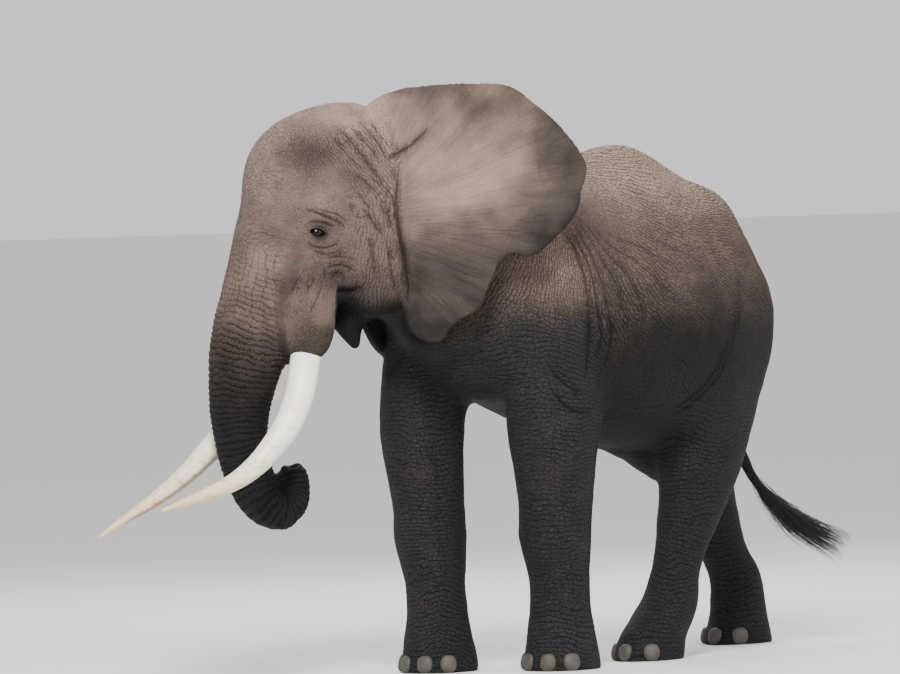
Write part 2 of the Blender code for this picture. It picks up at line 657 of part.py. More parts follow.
def grown(source, amount):
    """A copy whose faces are each moved out by the amount."""
    bm = bmesh.new()
    bm.from_mesh(source.data)
    bm.normal_update()
    bm.transform(source.matrix_world)
    moves = {}
    for vert in bm.verts:
        normals = []
        for face in vert.link_faces:
            if all(face.normal.dot(other) < 0.995 for other in normals):
                normals.append(face.normal.copy())
        push = sum(normals, Vector()) / max(1, len(normals) / 3)
        straight = push.normalized()
        least = min(straight.dot(normal) for normal in normals)
        moves[vert] = straight * amount / max(least, 0.35)
    for vert, move in moves.items():
        vert.co += move
    return new_object("cutter", bm)


def combine(target, other, operation):
    """Applies one Boolean and keeps the target's largest piece.

    The thinned flesh touches itself in a few tight creases, where the exact solver drops whole regions.
    """
    modifier = target.modifiers.new("cut", "BOOLEAN")
    modifier.solver = "MANIFOLD"
    modifier.operation = operation
    modifier.object = other
    graph = bpy.context.evaluated_depsgraph_get()
    mesh = bpy.data.meshes.new_from_object(target.evaluated_get(graph))
    target.modifiers.clear()
    target.data = mesh
    keep_largest(target)


def keep_largest(target):
    bm = bmesh.new()
    bm.from_mesh(target.data)
    bmesh.ops.remove_doubles(bm, verts=bm.verts, dist=WELD)
    bmesh.ops.dissolve_degenerate(bm, edges=bm.edges, dist=WELD)
    left, pieces = set(bm.verts), []
    while left:
        piece, edge = set(), [left.pop()]
        while edge:
            vert = edge.pop()
            piece.add(vert)
            for link in vert.link_edges:
                other = link.other_vert(vert)
                if other in left:
                    left.discard(other)
                    edge.append(other)
        pieces.append(piece)
    best = max(pieces, key=len)
    bmesh.ops.delete(bm, geom=[vert for vert in bm.verts if vert not in best], context="VERTS")
    bm.to_mesh(target.data)
    bm.free()


def copy_of(source, name):
    made = bpy.data.objects.new(name, source.data.copy())
    made.matrix_world = source.matrix_world
    bpy.context.scene.collection.objects.link(made)
    return made


def part_off(whole, name, cutter):
    """Takes what lies inside the cutter out of the whole as its own object."""
    piece = copy_of(whole, name)
    combine(piece, cutter, "INTERSECT")
    wider = grown(cutter, GAP)
    combine(whole, wider, "DIFFERENCE")
    bpy.data.objects.remove(cutter)
    bpy.data.objects.remove(wider)
    return piece


def make_room(flesh, guest):
    """Hollows the flesh out round a harder or thinner piece that sits in it."""
    bm = bmesh.new()
    bm.from_mesh(guest.data)
    bmesh.ops.triangulate(bm, faces=bm.faces)
    bm.to_mesh(guest.data)
    bm.free()
    wider = grown(guest, GAP)
    combine(flesh, wider, "DIFFERENCE")
    bpy.data.objects.remove(wider)


# ---------------------------------------------------------------- flesh
def refine_round(flesh, place, masses):
    """Splits the faces round a small hollow and lays their corners on the true surface."""
    bm = bmesh.new()
    bm.from_mesh(flesh.data)
    for reach in FINE_ROUND_EYE:
        near = {vert for vert in bm.verts if (vert.co - Vector(place)).length < reach}
        edges = [edge for edge in bm.edges if near.intersection(edge.verts)]
        bmesh.ops.subdivide_edges(bm, edges=edges, cuts=1)
        bmesh.ops.triangulate(bm, faces=bm.faces)
        near = [vert for vert in bm.verts if (vert.co - Vector(place)).length < reach]
        for vert, point in zip(near, onto_masses(masses, np.array([vert.co for vert in near]))):
            vert.co = point
    bm.to_mesh(flesh.data)
    bm.free()


def onto_masses(masses, points, reach=0.004):
    for _ in range(3):
        here = flesh_distance(masses, points)
        rise = [flesh_distance(masses, points + step) - flesh_distance(masses, points - step)
                for step in np.eye(3) * reach]
        slope = np.stack(rise, axis=1) / (2 * reach)
        points = points - slope * (here / np.maximum((slope**2).sum(1), 0.3))[:, None]
    return points


def make_flesh(masses, places):
    flesh = make_skin(SKIN_VOXEL)
    flesh.data.update()
    modifier = flesh.modifiers.new("fewer", "DECIMATE")
    modifier.ratio = SKIN_TRIANGLES / (2 * len(flesh.data.polygons))
    graph = bpy.context.evaluated_depsgraph_get()
    mesh = bpy.data.meshes.new_from_object(flesh.evaluated_get(graph))
    flesh.modifiers.clear()
    flesh.data = mesh
    for place in places:
        refine_round(flesh, place, masses)
    floor = slab((-3, 3), (-2, 2), (-1, 0))
    combine(flesh, floor, "DIFFERENCE")
    bpy.data.objects.remove(floor)
    return flesh


BELOW = -0.5  # under the floor
ANKLE, WRIST, ELBOW, KNEE, HIP = 0.24, 0.86, 1.42, 0.95, 2.48  # heights of the cuts
SHOULDER_TOP = 2.72


def part_legs(flesh):
    reach = {  # forward ranges of each side's lower foreleg, hind leg, thigh and shoulder
        "left": ((0.30, 1.45), (-0.80, 0.30), (-1.80, -0.25), (0.50, 1.42)),
        "right": ((0.50, 1.65), (-1.95, -0.85), (-1.80, -0.50), (0.55, 1.52)),
    }
    fore_heights = (("foot", BELOW, ANKLE), ("shank", ANKLE, WRIST), ("forearm", WRIST, ELBOW))
    hind_heights = (("foot", BELOW, ANKLE), ("shank", ANKLE, KNEE))
    haunch = ((0.10, KNEE), (1.0, KNEE), (1.0, HIP), (0.37, HIP), (0.37, 1.62), (0.10, 1.34))  # left, up
    pieces = []
    for name, side in SIDES.items():
        fore, hind, thigh, shoulder = reach[name]
        for part, *up in fore_heights:
            pieces.append(part_off(flesh, f"foreleg_{name}_{part}", slab(fore, (0.02 * side, side), up)))
        for part, *up in hind_heights:
            pieces.append(part_off(flesh, f"hindleg_{name}_{part}", slab(hind, (0.02 * side, side), up)))
        outline = [(left * side, up) for left, up in haunch]
        pieces.append(part_off(flesh, f"hindleg_{name}_thigh", front_prism(outline, thigh)))
        outer = slab(shoulder, (0.30 * side, side), (ELBOW, SHOULDER_TOP))
        pieces.append(part_off(flesh, f"foreleg_{name}_shoulder", outer))
    return pieces


def part_head(flesh):
    """Trunk, lower jaw and head, cut from the rest in that order."""
    root = ((0.25, 0.60), (1.30, 0.60), (1.30, 2.50), (0.98, 2.50), (0.42, 1.90), (0.25, 1.90))
    trunk = part_off(flesh, "trunk_upper", head_prism(root, (-0.8, 0.6)))
    pieces = [trunk]
    tip = ((0.25, 0.60), (0.60, 0.60), (0.60, 1.40), (0.25, 1.40))
    pieces.append(part_off(trunk, "trunk_tip", head_prism(tip, (-0.8, 0.6))))
    for part, top in (("trunk_lower", 1.34), ("trunk_middle", 1.68)):
        lower = ((0.2, 0.5), (1.3, 0.5), (1.3, top), (0.2, top))
        pieces.append(part_off(trunk, part, head_prism(lower, (-0.8, 0.6))))
    jaw = ((-0.31, 1.80), (0.27, 1.80), (0.27, 2.33), (-0.31, 2.33))
    pieces.append(part_off(flesh, "lower_jaw", head_prism(jaw, (-0.32, 0.32))))
    head = ((-0.32, 1.90), (1.4, 1.90), (1.4, 4.0), (-0.32, 4.0))
    pieces.append(part_off(flesh, "head", head_prism(head, (-1.0, 1.0))))
    return pieces


def part_torso(flesh):
    wide = (-2.0, 2.0)
    pieces = [part_off(flesh, "neck", slab((1.22, 3.0), wide, (1.0, 4.0)))]
    pieces.append(part_off(flesh, "chest", slab((0.50, 3.0), wide, (1.0, 4.0))))
    pieces.append(part_off(flesh, "hindquarters", slab((-3.0, -0.55), wide, (0.5, 4.0))))
    flesh.name = "barrel"
    return [*pieces, flesh]


# ---------------------------------------------------------------- harder pieces and thin ones
def round_bar(name, stations, sides):
    """A closed bar of round section along (point, half thickness) stations."""
    curve = bpy.data.curves.new(name, "CURVE")
    curve.dimensions = "3D"
    curve.bevel_depth = 1.0
    curve.bevel_resolution = sides // 2 - 2
    curve.use_fill_caps = True
    spline = curve.splines.new("POLY")
    spline.points.add(len(stations) - 1)
    for point, (place, half) in zip(spline.points, stations):
        point.co = (*place, 1)
        point.radius = half
    bar = bpy.data.objects.new(name, curve)
    bpy.context.scene.collection.objects.link(bar)
    graph = bpy.context.evaluated_depsgraph_get()
    mesh = bpy.data.meshes.new_from_object(bar.evaluated_get(graph))
    bpy.data.objects.remove(bar)
    bm = bmesh.new()
    bm.from_mesh(mesh)
    bmesh.ops.remove_doubles(bm, verts=bm.verts, dist=1e-5)
    face_outwards(bm)
    return new_object(name, bm)


def round_end(stations):
    """The stations with two more that round the last one off."""
    (before, _), (last, half) = stations[-2:]
    ahead = (last - before) / np.linalg.norm(last - before)
    return [*stations, (last + ahead * half * 0.6, half * 0.78), (last + ahead * half * 0.95, half * 0.35)]


def tusk(name, side):
    rows = [[*head_spot(f, off * side, h), half] for f, off, h, half in TUSK_LINES[side]]
    rows = smooth_rows(np.array(rows), 0.15)
    return round_bar(name, round_end([(row[:3], row[3]) for row in rows]), 8)


def tail_bar(name, step, sides):
    rows = smooth_rows(np.array([[*spot(f, l, h), half] for f, l, h, half in TAIL_LINE[1:]]), step)
    return round_bar(name, round_end([(row[:3], row[3]) for row in rows]), sides)


def tuft(name):
    """The outer form of the long hairs at the end of the tail."""
    rows = np.array([[*spot(f, l, h), half] for f, l, h, half in TUFT_LINE])
    rows = smooth_rows(rows, 0.10)
    return round_bar(name, round_end([(row[:3], row[3]) for row in rows]), 6)


def skin_spot(masses, inside, towards):
    """Where the skin is met on the way out from a point inside the flesh."""
    steps = np.linspace(0, 1, 400)[:, None]
    line = inside * (1 - steps) + towards * steps
    outside = flesh_distance(masses, line) > 0
    return line[outside.argmax()]


def eye_centre(side, masses):
    forward, height = EYE_PLACE
    inside, outer = (head_spot(forward, off * side, height) for off in (0.15, 0.60))
    ahead = (outer - inside) / np.linalg.norm(outer - inside)
    return skin_spot(masses, inside, outer) - ahead * EYE_RADIUS * EYE_SINK


def eye(name, centre):
    bm = bmesh.new()
    bmesh.ops.create_uvsphere(bm, u_segments=8, v_segments=6, radius=EYE_RADIUS,
                              matrix=Matrix.Translation(Vector(centre)))
    return new_object(name, bm)


def nails(foot, middle, length, width, angles):
    """The toenails of one foot, from its inner side out."""
    half_wide, thick, half_tall = NAIL_SIZE
    for number, degrees in enumerate(angles, 1):
        angle = math.radians(degrees)
        rim = 1 / math.hypot(math.cos(angle) / length, math.sin(angle) / width)
        out = rim * 0.97
        centre = spot(middle[0] + out * math.cos(angle), middle[1] + out * math.sin(angle), 0.058)
        turn = Matrix.Rotation(angle, 4, "Z") @ Matrix.Rotation(math.radians(-12), 4, "X")
        size = Matrix.Diagonal((half_wide, thick, half_tall, 1))
        bm = bmesh.new()
        bmesh.ops.create_uvsphere(bm, u_segments=6, v_segments=4, radius=1,
                                  matrix=Matrix.Translation(Vector(centre)) @ turn @ size)
        cut = bmesh.ops.bisect_plane(bm, geom=[*bm.verts, *bm.edges, *bm.faces], plane_co=(0, 0, NAIL_FOOT),
                                     plane_no=(0, 0, -1), clear_outer=True)
        rim_edges = [item for item in cut["geom_cut"] if isinstance(item, bmesh.types.BMEdge)]
        if rim_edges:
            bmesh.ops.contextual_create(bm, geom=rim_edges)
        face_outwards(bm)
        yield new_object(f"toenail_{foot}_{number}", bm)


# ---------------------------------------------------------------- finish
FINISHES = {  # base colour and roughness
    "skin": ((0.16, 0.13, 0.11), 0.85),
    "ivory": ((0.72, 0.62, 0.47), 0.40),
    "nail": ((0.35, 0.30, 0.24), 0.60),
    "eye": ((0.03, 0.02, 0.015), 0.10),
    "hair": ((0.02, 0.018, 0.016), 0.70),
}


def finish(piece, kind):
    colour, roughness = FINISHES[kind]
    material = bpy.data.materials.new(piece.name)
    material.use_nodes = True
    shader = material.node_tree.nodes["Principled BSDF"]
    shader.inputs["Base Color"].default_value = (*colour, 1)
    shader.inputs["Roughness"].default_value = roughness
    piece.data.materials.clear()
    piece.data.materials.append(material)
    for face in piece.data.polygons:
        face.material_index = 0
    piece.data.shade_smooth()
    piece.data.set_sharp_from_angle(angle=math.radians(40))


def centre_on_floor(pieces):
    """Moves everything so that the middle of the box's bottom is the origin."""
    corners = np.array([vert.co for piece in pieces for vert in piece.data.vertices])
    low, high = corners.min(0), corners.max(0)
    move = Matrix.Translation((-(low[0] + high[0]) / 2, -(low[1] + high[1]) / 2, -low[2]))
    for piece in pieces:
        piece.data.transform(move)


def make_elephant():
    for item in list(bpy.data.objects):
        bpy.data.objects.remove(item)
    masses = body_masses()
    centres = {name: eye_centre(side, masses) for name, side in SIDES.items()}
    flesh = make_flesh(masses, centres.values())
    hard = {}
    for name, side in SIDES.items():
        hard[f"tusk_{name}"] = (tusk(f"tusk_{name}", side), "ivory")
        hard[f"eye_{name}"] = (eye(f"eye_{name}", centres[name]), "eye")
    for foot, middle, length, width, angles in soles():
        for nail in nails(foot, middle, length, width, angles):
            hard[nail.name] = (nail, "nail")
    thin = [make_ear_sheet(f"ear_{name}", side, 3, 28) for name, side in SIDES.items()]
    tail = tail_bar("tail", 0.14, 6)
    for piece in (*thin, tail, *(piece for piece, _ in hard.values())):
        make_room(flesh, piece)
    end = tuft("tail_tuft")
    make_room(end, tail)
    flesh_pieces = [*part_legs(flesh), *part_head(flesh), *part_torso(flesh)]
    for piece in (*flesh_pieces, *thin, tail):
        finish(piece, "skin")
    finish(end, "hair")
    for piece, kind in hard.values():
        finish(piece, kind)
    centre_on_floor([*flesh_pieces, *thin, tail, end, *(piece for piece, _ in hard.values())])


make_elephant()
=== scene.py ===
"""The look of a standing African bush elephant bull: one skin, tusks, eyes, toenails and tail hairs.

The skin is grown from the same named masses as the solid parts, then folded, creased and coloured.
"""

import itertools
import json
import math

import bmesh
import bpy
import numpy as np
from mathutils import Matrix, Vector
from mathutils.bvhtree import BVHTree

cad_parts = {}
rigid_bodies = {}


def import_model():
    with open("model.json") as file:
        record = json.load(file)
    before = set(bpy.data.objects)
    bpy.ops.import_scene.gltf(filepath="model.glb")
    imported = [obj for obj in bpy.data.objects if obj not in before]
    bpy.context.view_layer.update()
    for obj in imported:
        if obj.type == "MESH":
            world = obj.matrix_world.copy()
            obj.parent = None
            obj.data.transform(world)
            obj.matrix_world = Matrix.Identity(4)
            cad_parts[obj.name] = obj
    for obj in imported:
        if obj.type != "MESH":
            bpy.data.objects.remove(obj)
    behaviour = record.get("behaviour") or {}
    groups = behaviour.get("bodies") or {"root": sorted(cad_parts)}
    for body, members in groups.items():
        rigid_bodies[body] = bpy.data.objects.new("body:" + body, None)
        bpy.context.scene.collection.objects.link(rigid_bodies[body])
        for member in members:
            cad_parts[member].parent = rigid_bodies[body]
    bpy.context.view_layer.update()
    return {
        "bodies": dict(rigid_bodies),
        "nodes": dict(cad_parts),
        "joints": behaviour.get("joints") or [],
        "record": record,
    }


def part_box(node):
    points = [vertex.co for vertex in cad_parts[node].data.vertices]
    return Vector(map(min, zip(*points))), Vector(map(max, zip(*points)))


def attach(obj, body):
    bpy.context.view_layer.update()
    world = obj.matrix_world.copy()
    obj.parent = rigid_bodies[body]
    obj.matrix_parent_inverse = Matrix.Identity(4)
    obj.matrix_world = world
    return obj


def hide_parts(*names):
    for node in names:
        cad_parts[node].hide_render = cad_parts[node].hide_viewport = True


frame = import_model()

# ---------------------------------------------------------------- axes and pose
# Lengths are metres. The animal walks towards -Y, its left side is +X and it stands on z = 0.
HEAD_PIVOT = (1.85, -0.35, 2.55)  # forward, left, up: a point between the ears
HEAD_TURN = math.radians(-26)  # towards the animal's right
HEAD_ROLL = math.radians(-6)  # right side down
EAR_SPREAD = {1: math.radians(22), -1: math.radians(38)}  # how far each ear stands off the head
SIDES = {"left": 1, "right": -1}


def spot(forward, left, height):
    """A point of the body from its place forward, to the left and up."""
    return np.array((left, -forward, height), float)


def head_matrix():
    """Carries head measures (left, back, up from the pivot) to the body's frame."""
    place = Matrix.Translation(Vector(spot(*HEAD_PIVOT)))
    return place @ Matrix.Rotation(HEAD_TURN, 4, "Z") @ Matrix.Rotation(HEAD_ROLL, 4, "Y")


HEAD = head_matrix()


def head_spot(forward, left, height):
    """A point of the head, where height is above the ground with the head unrolled."""
    return np.array(HEAD @ Vector(spot(forward, left, height - HEAD_PIVOT[2])))


# ---------------------------------------------------------------- flesh as blended masses
ROW_STEP = 0.05  # along a tube's line
BALL_GAP = 0.2  # between the balls that fill a tube, as a share of its half width
BLEND_ROOM = 0.06  # past the reach of a blend
STEEP = 0.3  # least slope, squared, that a step onto the flesh allows for
LONGEST_STEP = 0.06  # onto the flesh


class Tube:
    """A limb round a curved line. Each station is a point and its half sizes: front, back, side.

    front lies towards `facing`, side is square to it. pinch is for the front and for the back
    half: over 2 fills the section out, and under 2 draws it in towards a diamond.
    """

    hollow = False

    def __init__(self, stations, facing, blend, pinch=(2.0, 2.0), step=ROW_STEP):
        rows = smooth_rows(np.array([[*point, *sizes] for point, *sizes in stations]), step)
        self.line, self.half = rows[:, :3], rows[:, 3:]
        self.blend, self.pinch = blend, pinch
        along = np.gradient(self.line, axis=0)
        self.along = along / np.linalg.norm(along, axis=1, keepdims=True)
        facing = np.array(facing, float)
        ahead = facing - self.along * (self.along @ facing)[:, None]
        self.ahead = ahead / np.linalg.norm(ahead, axis=1, keepdims=True)
        self.across = np.cross(self.along, self.ahead)
        self.low, self.high = box_round(self.seeds(), blend)

    def distance(self, points):
        """Signed distance along the ray from the tube's own line."""
        square = (self.line**2).sum(1) - 2 * points @ self.line.T
        near = square.argmin(1)
        gap = np.linalg.norm(np.diff(self.line, axis=0), axis=1).mean()
        place = near + ((points - self.line[near]) * self.along[near]).sum(1) / gap
        place = place.clip(0, len(self.line) - 1)
        first = place.astype(int).clip(0, len(self.line) - 2)
        part = (place - first)[:, None]

        def between(rows):
            return rows[first] * (1 - part) + rows[first + 1] * part

        off, half = points - between(self.line), between(self.half)
        ahead = (off * between(self.ahead)).sum(1)
        across = np.abs((off * between(self.across)).sum(1))
        over = np.abs((off * between(self.along)).sum(1))
        depth = np.where(ahead > 0, half[:, 0], half[:, 1])
        power = np.where(ahead > 0, *self.pinch)
        share = (np.abs(ahead) / depth) ** power + (across / half[:, 2]) ** power
        share = share ** (2 / power) + (over / half.mean(1)) ** 2
        return radial(off, np.sqrt(share), half.min(1))

    def seeds(self):
        """Matrices of the unit balls that fill the tube."""
        step = max(1, int(BALL_GAP * self.half[:, 2].mean() / ROW_STEP))
        for i in [*range(0, len(self.line), step), len(self.line) - 1]:
            front, back, side = self.half[i]
            middle = self.line[i] + self.ahead[i] * (front - back) / 2
            depth = (front + back) / 2
            axes = [self.ahead[i] * depth, self.across[i] * side, self.along[i] * min(depth, side)]
            yield ball_matrix(middle, axes)


class Lump:
    """A turned ellipsoid of half sizes (forward, side, up). A hollow is cut away instead."""

    def __init__(self, centre, sizes, blend, pitch=0.0, frame=None, hollow=False):
        turn = Matrix.Rotation(pitch, 3, "X")
        if frame is not None:
            turn = frame.to_3x3() @ turn
        self.centre, self.turn = np.array(centre, float), np.array(turn)
        self.sizes = np.array((sizes[1], sizes[0], sizes[2]))
        self.blend, self.hollow = blend, hollow
        self.low, self.high = box_round([self.ball()], blend)

    def distance(self, points):
        off = (points - self.centre) @ self.turn
        return radial(off, np.linalg.norm(off / self.sizes, axis=1), self.sizes.min())

    def ball(self):
        return ball_matrix(self.centre, [axis * size for axis, size in zip(self.turn.T, self.sizes)])

    def seeds(self):
        return [] if self.hollow else [self.ball()]


def radial(off, share, least):
    """Distance from a surface where share is 1, measured along off."""
    length = np.linalg.norm(off, axis=1)
    safe = np.maximum(share, 1e-6)
    return np.where(share < 0.05, -least, length * (1 - 1 / safe))


def ball_matrix(centre, axes):
    """Carries the unit ball to an ellipsoid with the axes."""
    made = Matrix.Identity(4)
    for column, axis in enumerate(axes):
        made.col[column] = (*axis, 0)
    made.col[3] = (*centre, 1)
    if made.determinant() < 0:
        made.col[2] = -made.col[2]
    return made


def box_round(balls, blend):
    """Lowest and highest corners of a box that holds the balls, with room to blend."""
    reach = blend + BLEND_ROOM
    balls = [np.array(ball) for ball in balls]
    middle = np.array([ball[:3, 3] for ball in balls])
    half = np.array([np.linalg.norm(ball[:3, :3], axis=1) for ball in balls])
    return (middle - half).min(0) - reach, (middle + half).max(0) + reach


def smooth_rows(keys, step):
    """Rows along a Catmull-Rom curve through the keys, about a step apart by the first three columns."""
    ends = np.vstack([2 * keys[0] - keys[1], keys, 2 * keys[-1] - keys[-2]])
    fine = []
    for a, b, c, d in zip(ends, ends[1:], ends[2:], ends[3:]):
        for t in np.linspace(0, 1, 24, endpoint=False):
            fine.append(0.5 * (2 * b + (c - a) * t + (2 * a - 5 * b + 4 * c - d) * t**2
                               + (3 * b - a - 3 * c + d) * t**3))
    fine = np.array([*fine, keys[-1]])
    run = np.concatenate([[0], np.linalg.norm(np.diff(fine[:, :3], axis=0), axis=1).cumsum()])
    even = np.linspace(0, run[-1], max(4, int(run[-1] / step) + 1))
    return np.stack([np.interp(even, run, column) for column in fine.T], axis=1)


def soft_min(a, b, blend):
    """The lesser of two distances, rounded where they differ by less than the blend."""
    near = np.maximum(blend - np.abs(a - b), 0) / blend
    return np.minimum(a, b) - near * near * blend / 4


def flesh_distance(masses, points):
    """Signed distance of points near the skin from the blended masses."""
    found = np.full(len(points), 1.0)
    for mass in masses:
        inside = ((points > mass.low) & (points < mass.high)).all(1)
        if not inside.any():
            continue
        own = mass.distance(points[inside])
        if mass.hollow:
            found[inside] = -soft_min(-found[inside], own, mass.blend)
        else:
            found[inside] = soft_min(found[inside], own, mass.blend)
    return found


# ---------------------------------------------------------------- torso
def torso_masses():
    """Barrel, back, shoulders, hips, breastbone and sheath."""
    level = 2.05  # height of the widest line of the barrel
    outline = (  # forward, height of the back, height of the belly, half width
        (1.38, 2.62, 1.98, 0.26),
        (1.26, 2.88, 1.82, 0.40),
        (1.05, 3.10, 1.70, 0.52),
        (0.78, 3.17, 1.58, 0.61),
        (0.42, 3.05, 1.45, 0.70),
        (0.10, 3.11, 1.36, 0.755),
        (-0.18, 3.15, 1.31, 0.775),
        (-0.45, 3.09, 1.32, 0.76),
        (-0.68, 2.99, 1.39, 0.69),
        (-0.90, 2.89, 1.53, 0.57),
        (-1.07, 2.72, 1.70, 0.44),
        (-1.20, 2.48, 1.88, 0.28),
    )
    stations = [(spot(forward, 0, level), back - level, level - belly, wide)
                for forward, back, belly, wide in outline]
    yield Tube(stations, (0, 0, 1), 0.10, pinch=(1.75, 2.2))
    # The row of spines along the back, and the hump over the loins.
    yield Tube([
        (spot(1.15, 0, 3.02), 0.10, 0.2, 0.10),
        (spot(0.84, 0, 3.13), 0.12, 0.2, 0.12),
        (spot(0.42, 0, 2.99), 0.09, 0.2, 0.10),
        (spot(0.00, 0, 3.08), 0.10, 0.2, 0.11),
        (spot(-0.28, 0, 3.10), 0.11, 0.2, 0.12),
        (spot(-0.58, 0, 2.98), 0.10, 0.2, 0.11),
        (spot(-0.85, 0, 2.85), 0.08, 0.2, 0.10),
        (spot(-1.12, 0, 2.66), 0.07, 0.2, 0.09),
    ], (0, 0, 1), 0.20)
    for side in (1, -1):
        # Shoulder blade, its muscle and the point of the shoulder.
        yield Lump(spot(0.84, 0.38 * side, 2.52), (0.30, 0.17, 0.52), 0.22, pitch=math.radians(12))
        # Wing of the hip bone, rump muscle and the seat.
        yield Lump(spot(-0.60, 0.33 * side, 2.76), (0.22, 0.16, 0.15), 0.26, pitch=math.radians(20))
        yield Lump(spot(-0.74, 0.32 * side, 2.26), (0.31, 0.28, 0.46), 0.22)
        yield Lump(spot(-0.98, 0.25 * side, 2.00), (0.23, 0.22, 0.38), 0.20)
        # Fold of skin from the flank to the knee.
        yield Lump(spot(-0.52, 0.50 * side, 1.62), (0.24, 0.10, 0.28), 0.20)
    # Between the seat bones, under the root of the tail.
    yield Lump(spot(-1.02, 0, 2.40), (0.22, 0.22, 0.34), 0.20)
    yield Lump(spot(-0.92, 0, 1.98), (0.24, 0.22, 0.46), 0.20)
    # Breastbone between the forelegs, and the sheath under the belly.
    yield Lump(spot(1.14, 0, 1.98), (0.30, 0.26, 0.28), 0.16)
    yield Tube([
        (spot(-0.22, 0, 1.36), 0.10, 0.10, 0.09),
        (spot(-0.42, 0, 1.25), 0.12, 0.12, 0.085),
        (spot(-0.56, 0, 1.15), 0.09, 0.09, 0.065),
    ], (1, 0, 0), 0.10)


TAIL_LINE = (  # forward, left, height, half thickness
    (-1.08, 0.00, 2.68, 0.095),
    (-1.20, 0.00, 2.50, 0.075),
    (-1.26, 0.00, 2.28, 0.060),
    (-1.29, 0.00, 2.00, 0.050),
    (-1.28, 0.00, 1.70, 0.042),
    (-1.30, 0.01, 1.42, 0.037),
    (-1.37, 0.03, 1.17, 0.033),
    (-1.50, 0.09, 0.96, 0.029),
    (-1.66, 0.17, 0.81, 0.025),
)


def tail_masses():
    """Only the root of the tail; the rest is a tube of its own."""
    yield Tube([(spot(*place), half, half, half) for *place, half in TAIL_LINE[:3]], (1, 0, 0), 0.12)


# ---------------------------------------------------------------- legs
SOLE_UNDER = -0.12  # the legs run on under the floor and are cut off there later


def on_side(side):
    """What places a joint, (forward, off the middle), at a height on one side of the body."""
    return lambda joint, height: spot(joint[0], joint[1] * side, height)


def mix(a, b, part):
    """The place part of the way from one joint to another."""
    return (a[0] * (1 - part) + b[0] * part, a[1] * (1 - part) + b[1] * part)


def foreleg_masses(side, shoulder, elbow, wrist, foot, behind):
    """A foreleg; behind is how full it is at the back of the elbow."""
    at = on_side(side)
    yield Tube([
        (at(shoulder, 2.30), 0.30, 0.30, 0.20),
        (at(mix(shoulder, elbow, 0.5), 1.95), 0.31, 0.33, 0.23),
        (at(mix(shoulder, elbow, 0.9), 1.66), 0.31, 0.34 * behind, 0.260),
        (at(elbow, 1.45), 0.30, 0.32 * behind, 0.265),
        (at(mix(elbow, wrist, 0.45), 1.18), 0.25, 0.13 + 0.125 * behind, 0.240),
        (at(wrist, 0.86), 0.215, 0.215, 0.210),
        (at(mix(wrist, foot, 0.35), 0.62), 0.190, 0.195, 0.190),
        (at(mix(wrist, foot, 0.65), 0.38), 0.195, 0.190, 0.190),
        (at(mix(wrist, foot, 0.90), 0.17), 0.232, 0.212, 0.220),
        (at(foot, 0.03), 0.255, 0.230, 0.240),
        (at(foot, SOLE_UNDER), 0.255, 0.230, 0.240),
    ], (0, -1, 0), 0.12)
    # Point of the elbow and the swelling over the wrist.
    yield Lump(at((elbow[0] - 0.20 * behind, elbow[1] - 0.02), 1.60), (0.15 * behind, 0.13, 0.22), 0.16)
    yield Lump(at((wrist[0] + 0.05, wrist[1]), 0.82), (0.15, 0.14, 0.20), 0.16)


def hindleg_masses(side, hip, knee, heel, foot):
    """A hind leg, slimmer below than a foreleg, with the knee low and the heel behind."""
    at = on_side(side)
    yield Tube([
        (at(hip, 2.20), 0.34, 0.34, 0.25),
        (at(mix(hip, knee, 0.30), 1.86), 0.37, 0.38, 0.255),
        (at(mix(hip, knee, 0.65), 1.50), 0.33, 0.34, 0.250),
        (at(knee, 1.16), 0.265, 0.285, 0.230),
        (at(mix(knee, heel, 0.42), 0.84), 0.185, 0.208, 0.180),
        (at(mix(knee, heel, 0.76), 0.58), 0.128, 0.172, 0.150),
        (at(heel, 0.40), 0.122, 0.175, 0.150),
        (at(mix(heel, foot, 0.6), 0.20), 0.178, 0.198, 0.180),
        (at(foot, 0.03), 0.262, 0.225, 0.205),
        (at(foot, SOLE_UNDER), 0.262, 0.225, 0.205),
    ], (0, -1, 0), 0.12)
    # Kneecap, calf and heel.
    yield Lump(at((knee[0] + 0.10, knee[1] + 0.01), 1.20), (0.15, 0.13, 0.17), 0.12)
    yield Lump(at((heel[0] - 0.08, heel[1]), 0.36), (0.11, 0.11, 0.18), 0.14)


FORE_FEET = {"left": (0.81, 0.34), "right": (1.19, 0.34)}  # forward, and off the middle
HIND_FEET = {"left": (-0.09, 0.28), "right": (-1.61, 0.27)}


def leg_masses():
    yield from foreleg_masses(1, (0.97, 0.36), (0.92, 0.41), (0.875, 0.375), FORE_FEET["left"], 1.0)
    yield from foreleg_masses(-1, (1.16, 0.36), (1.20, 0.40), (1.20, 0.37), FORE_FEET["right"], 0.60)
    yield from hindleg_masses(1, (-0.86, 0.32), (-0.53, 0.34), (-0.26, 0.29), HIND_FEET["left"])
    yield from hindleg_masses(-1, (-0.92, 0.32), (-1.28, 0.34), (-1.585, 0.29), HIND_FEET["right"])


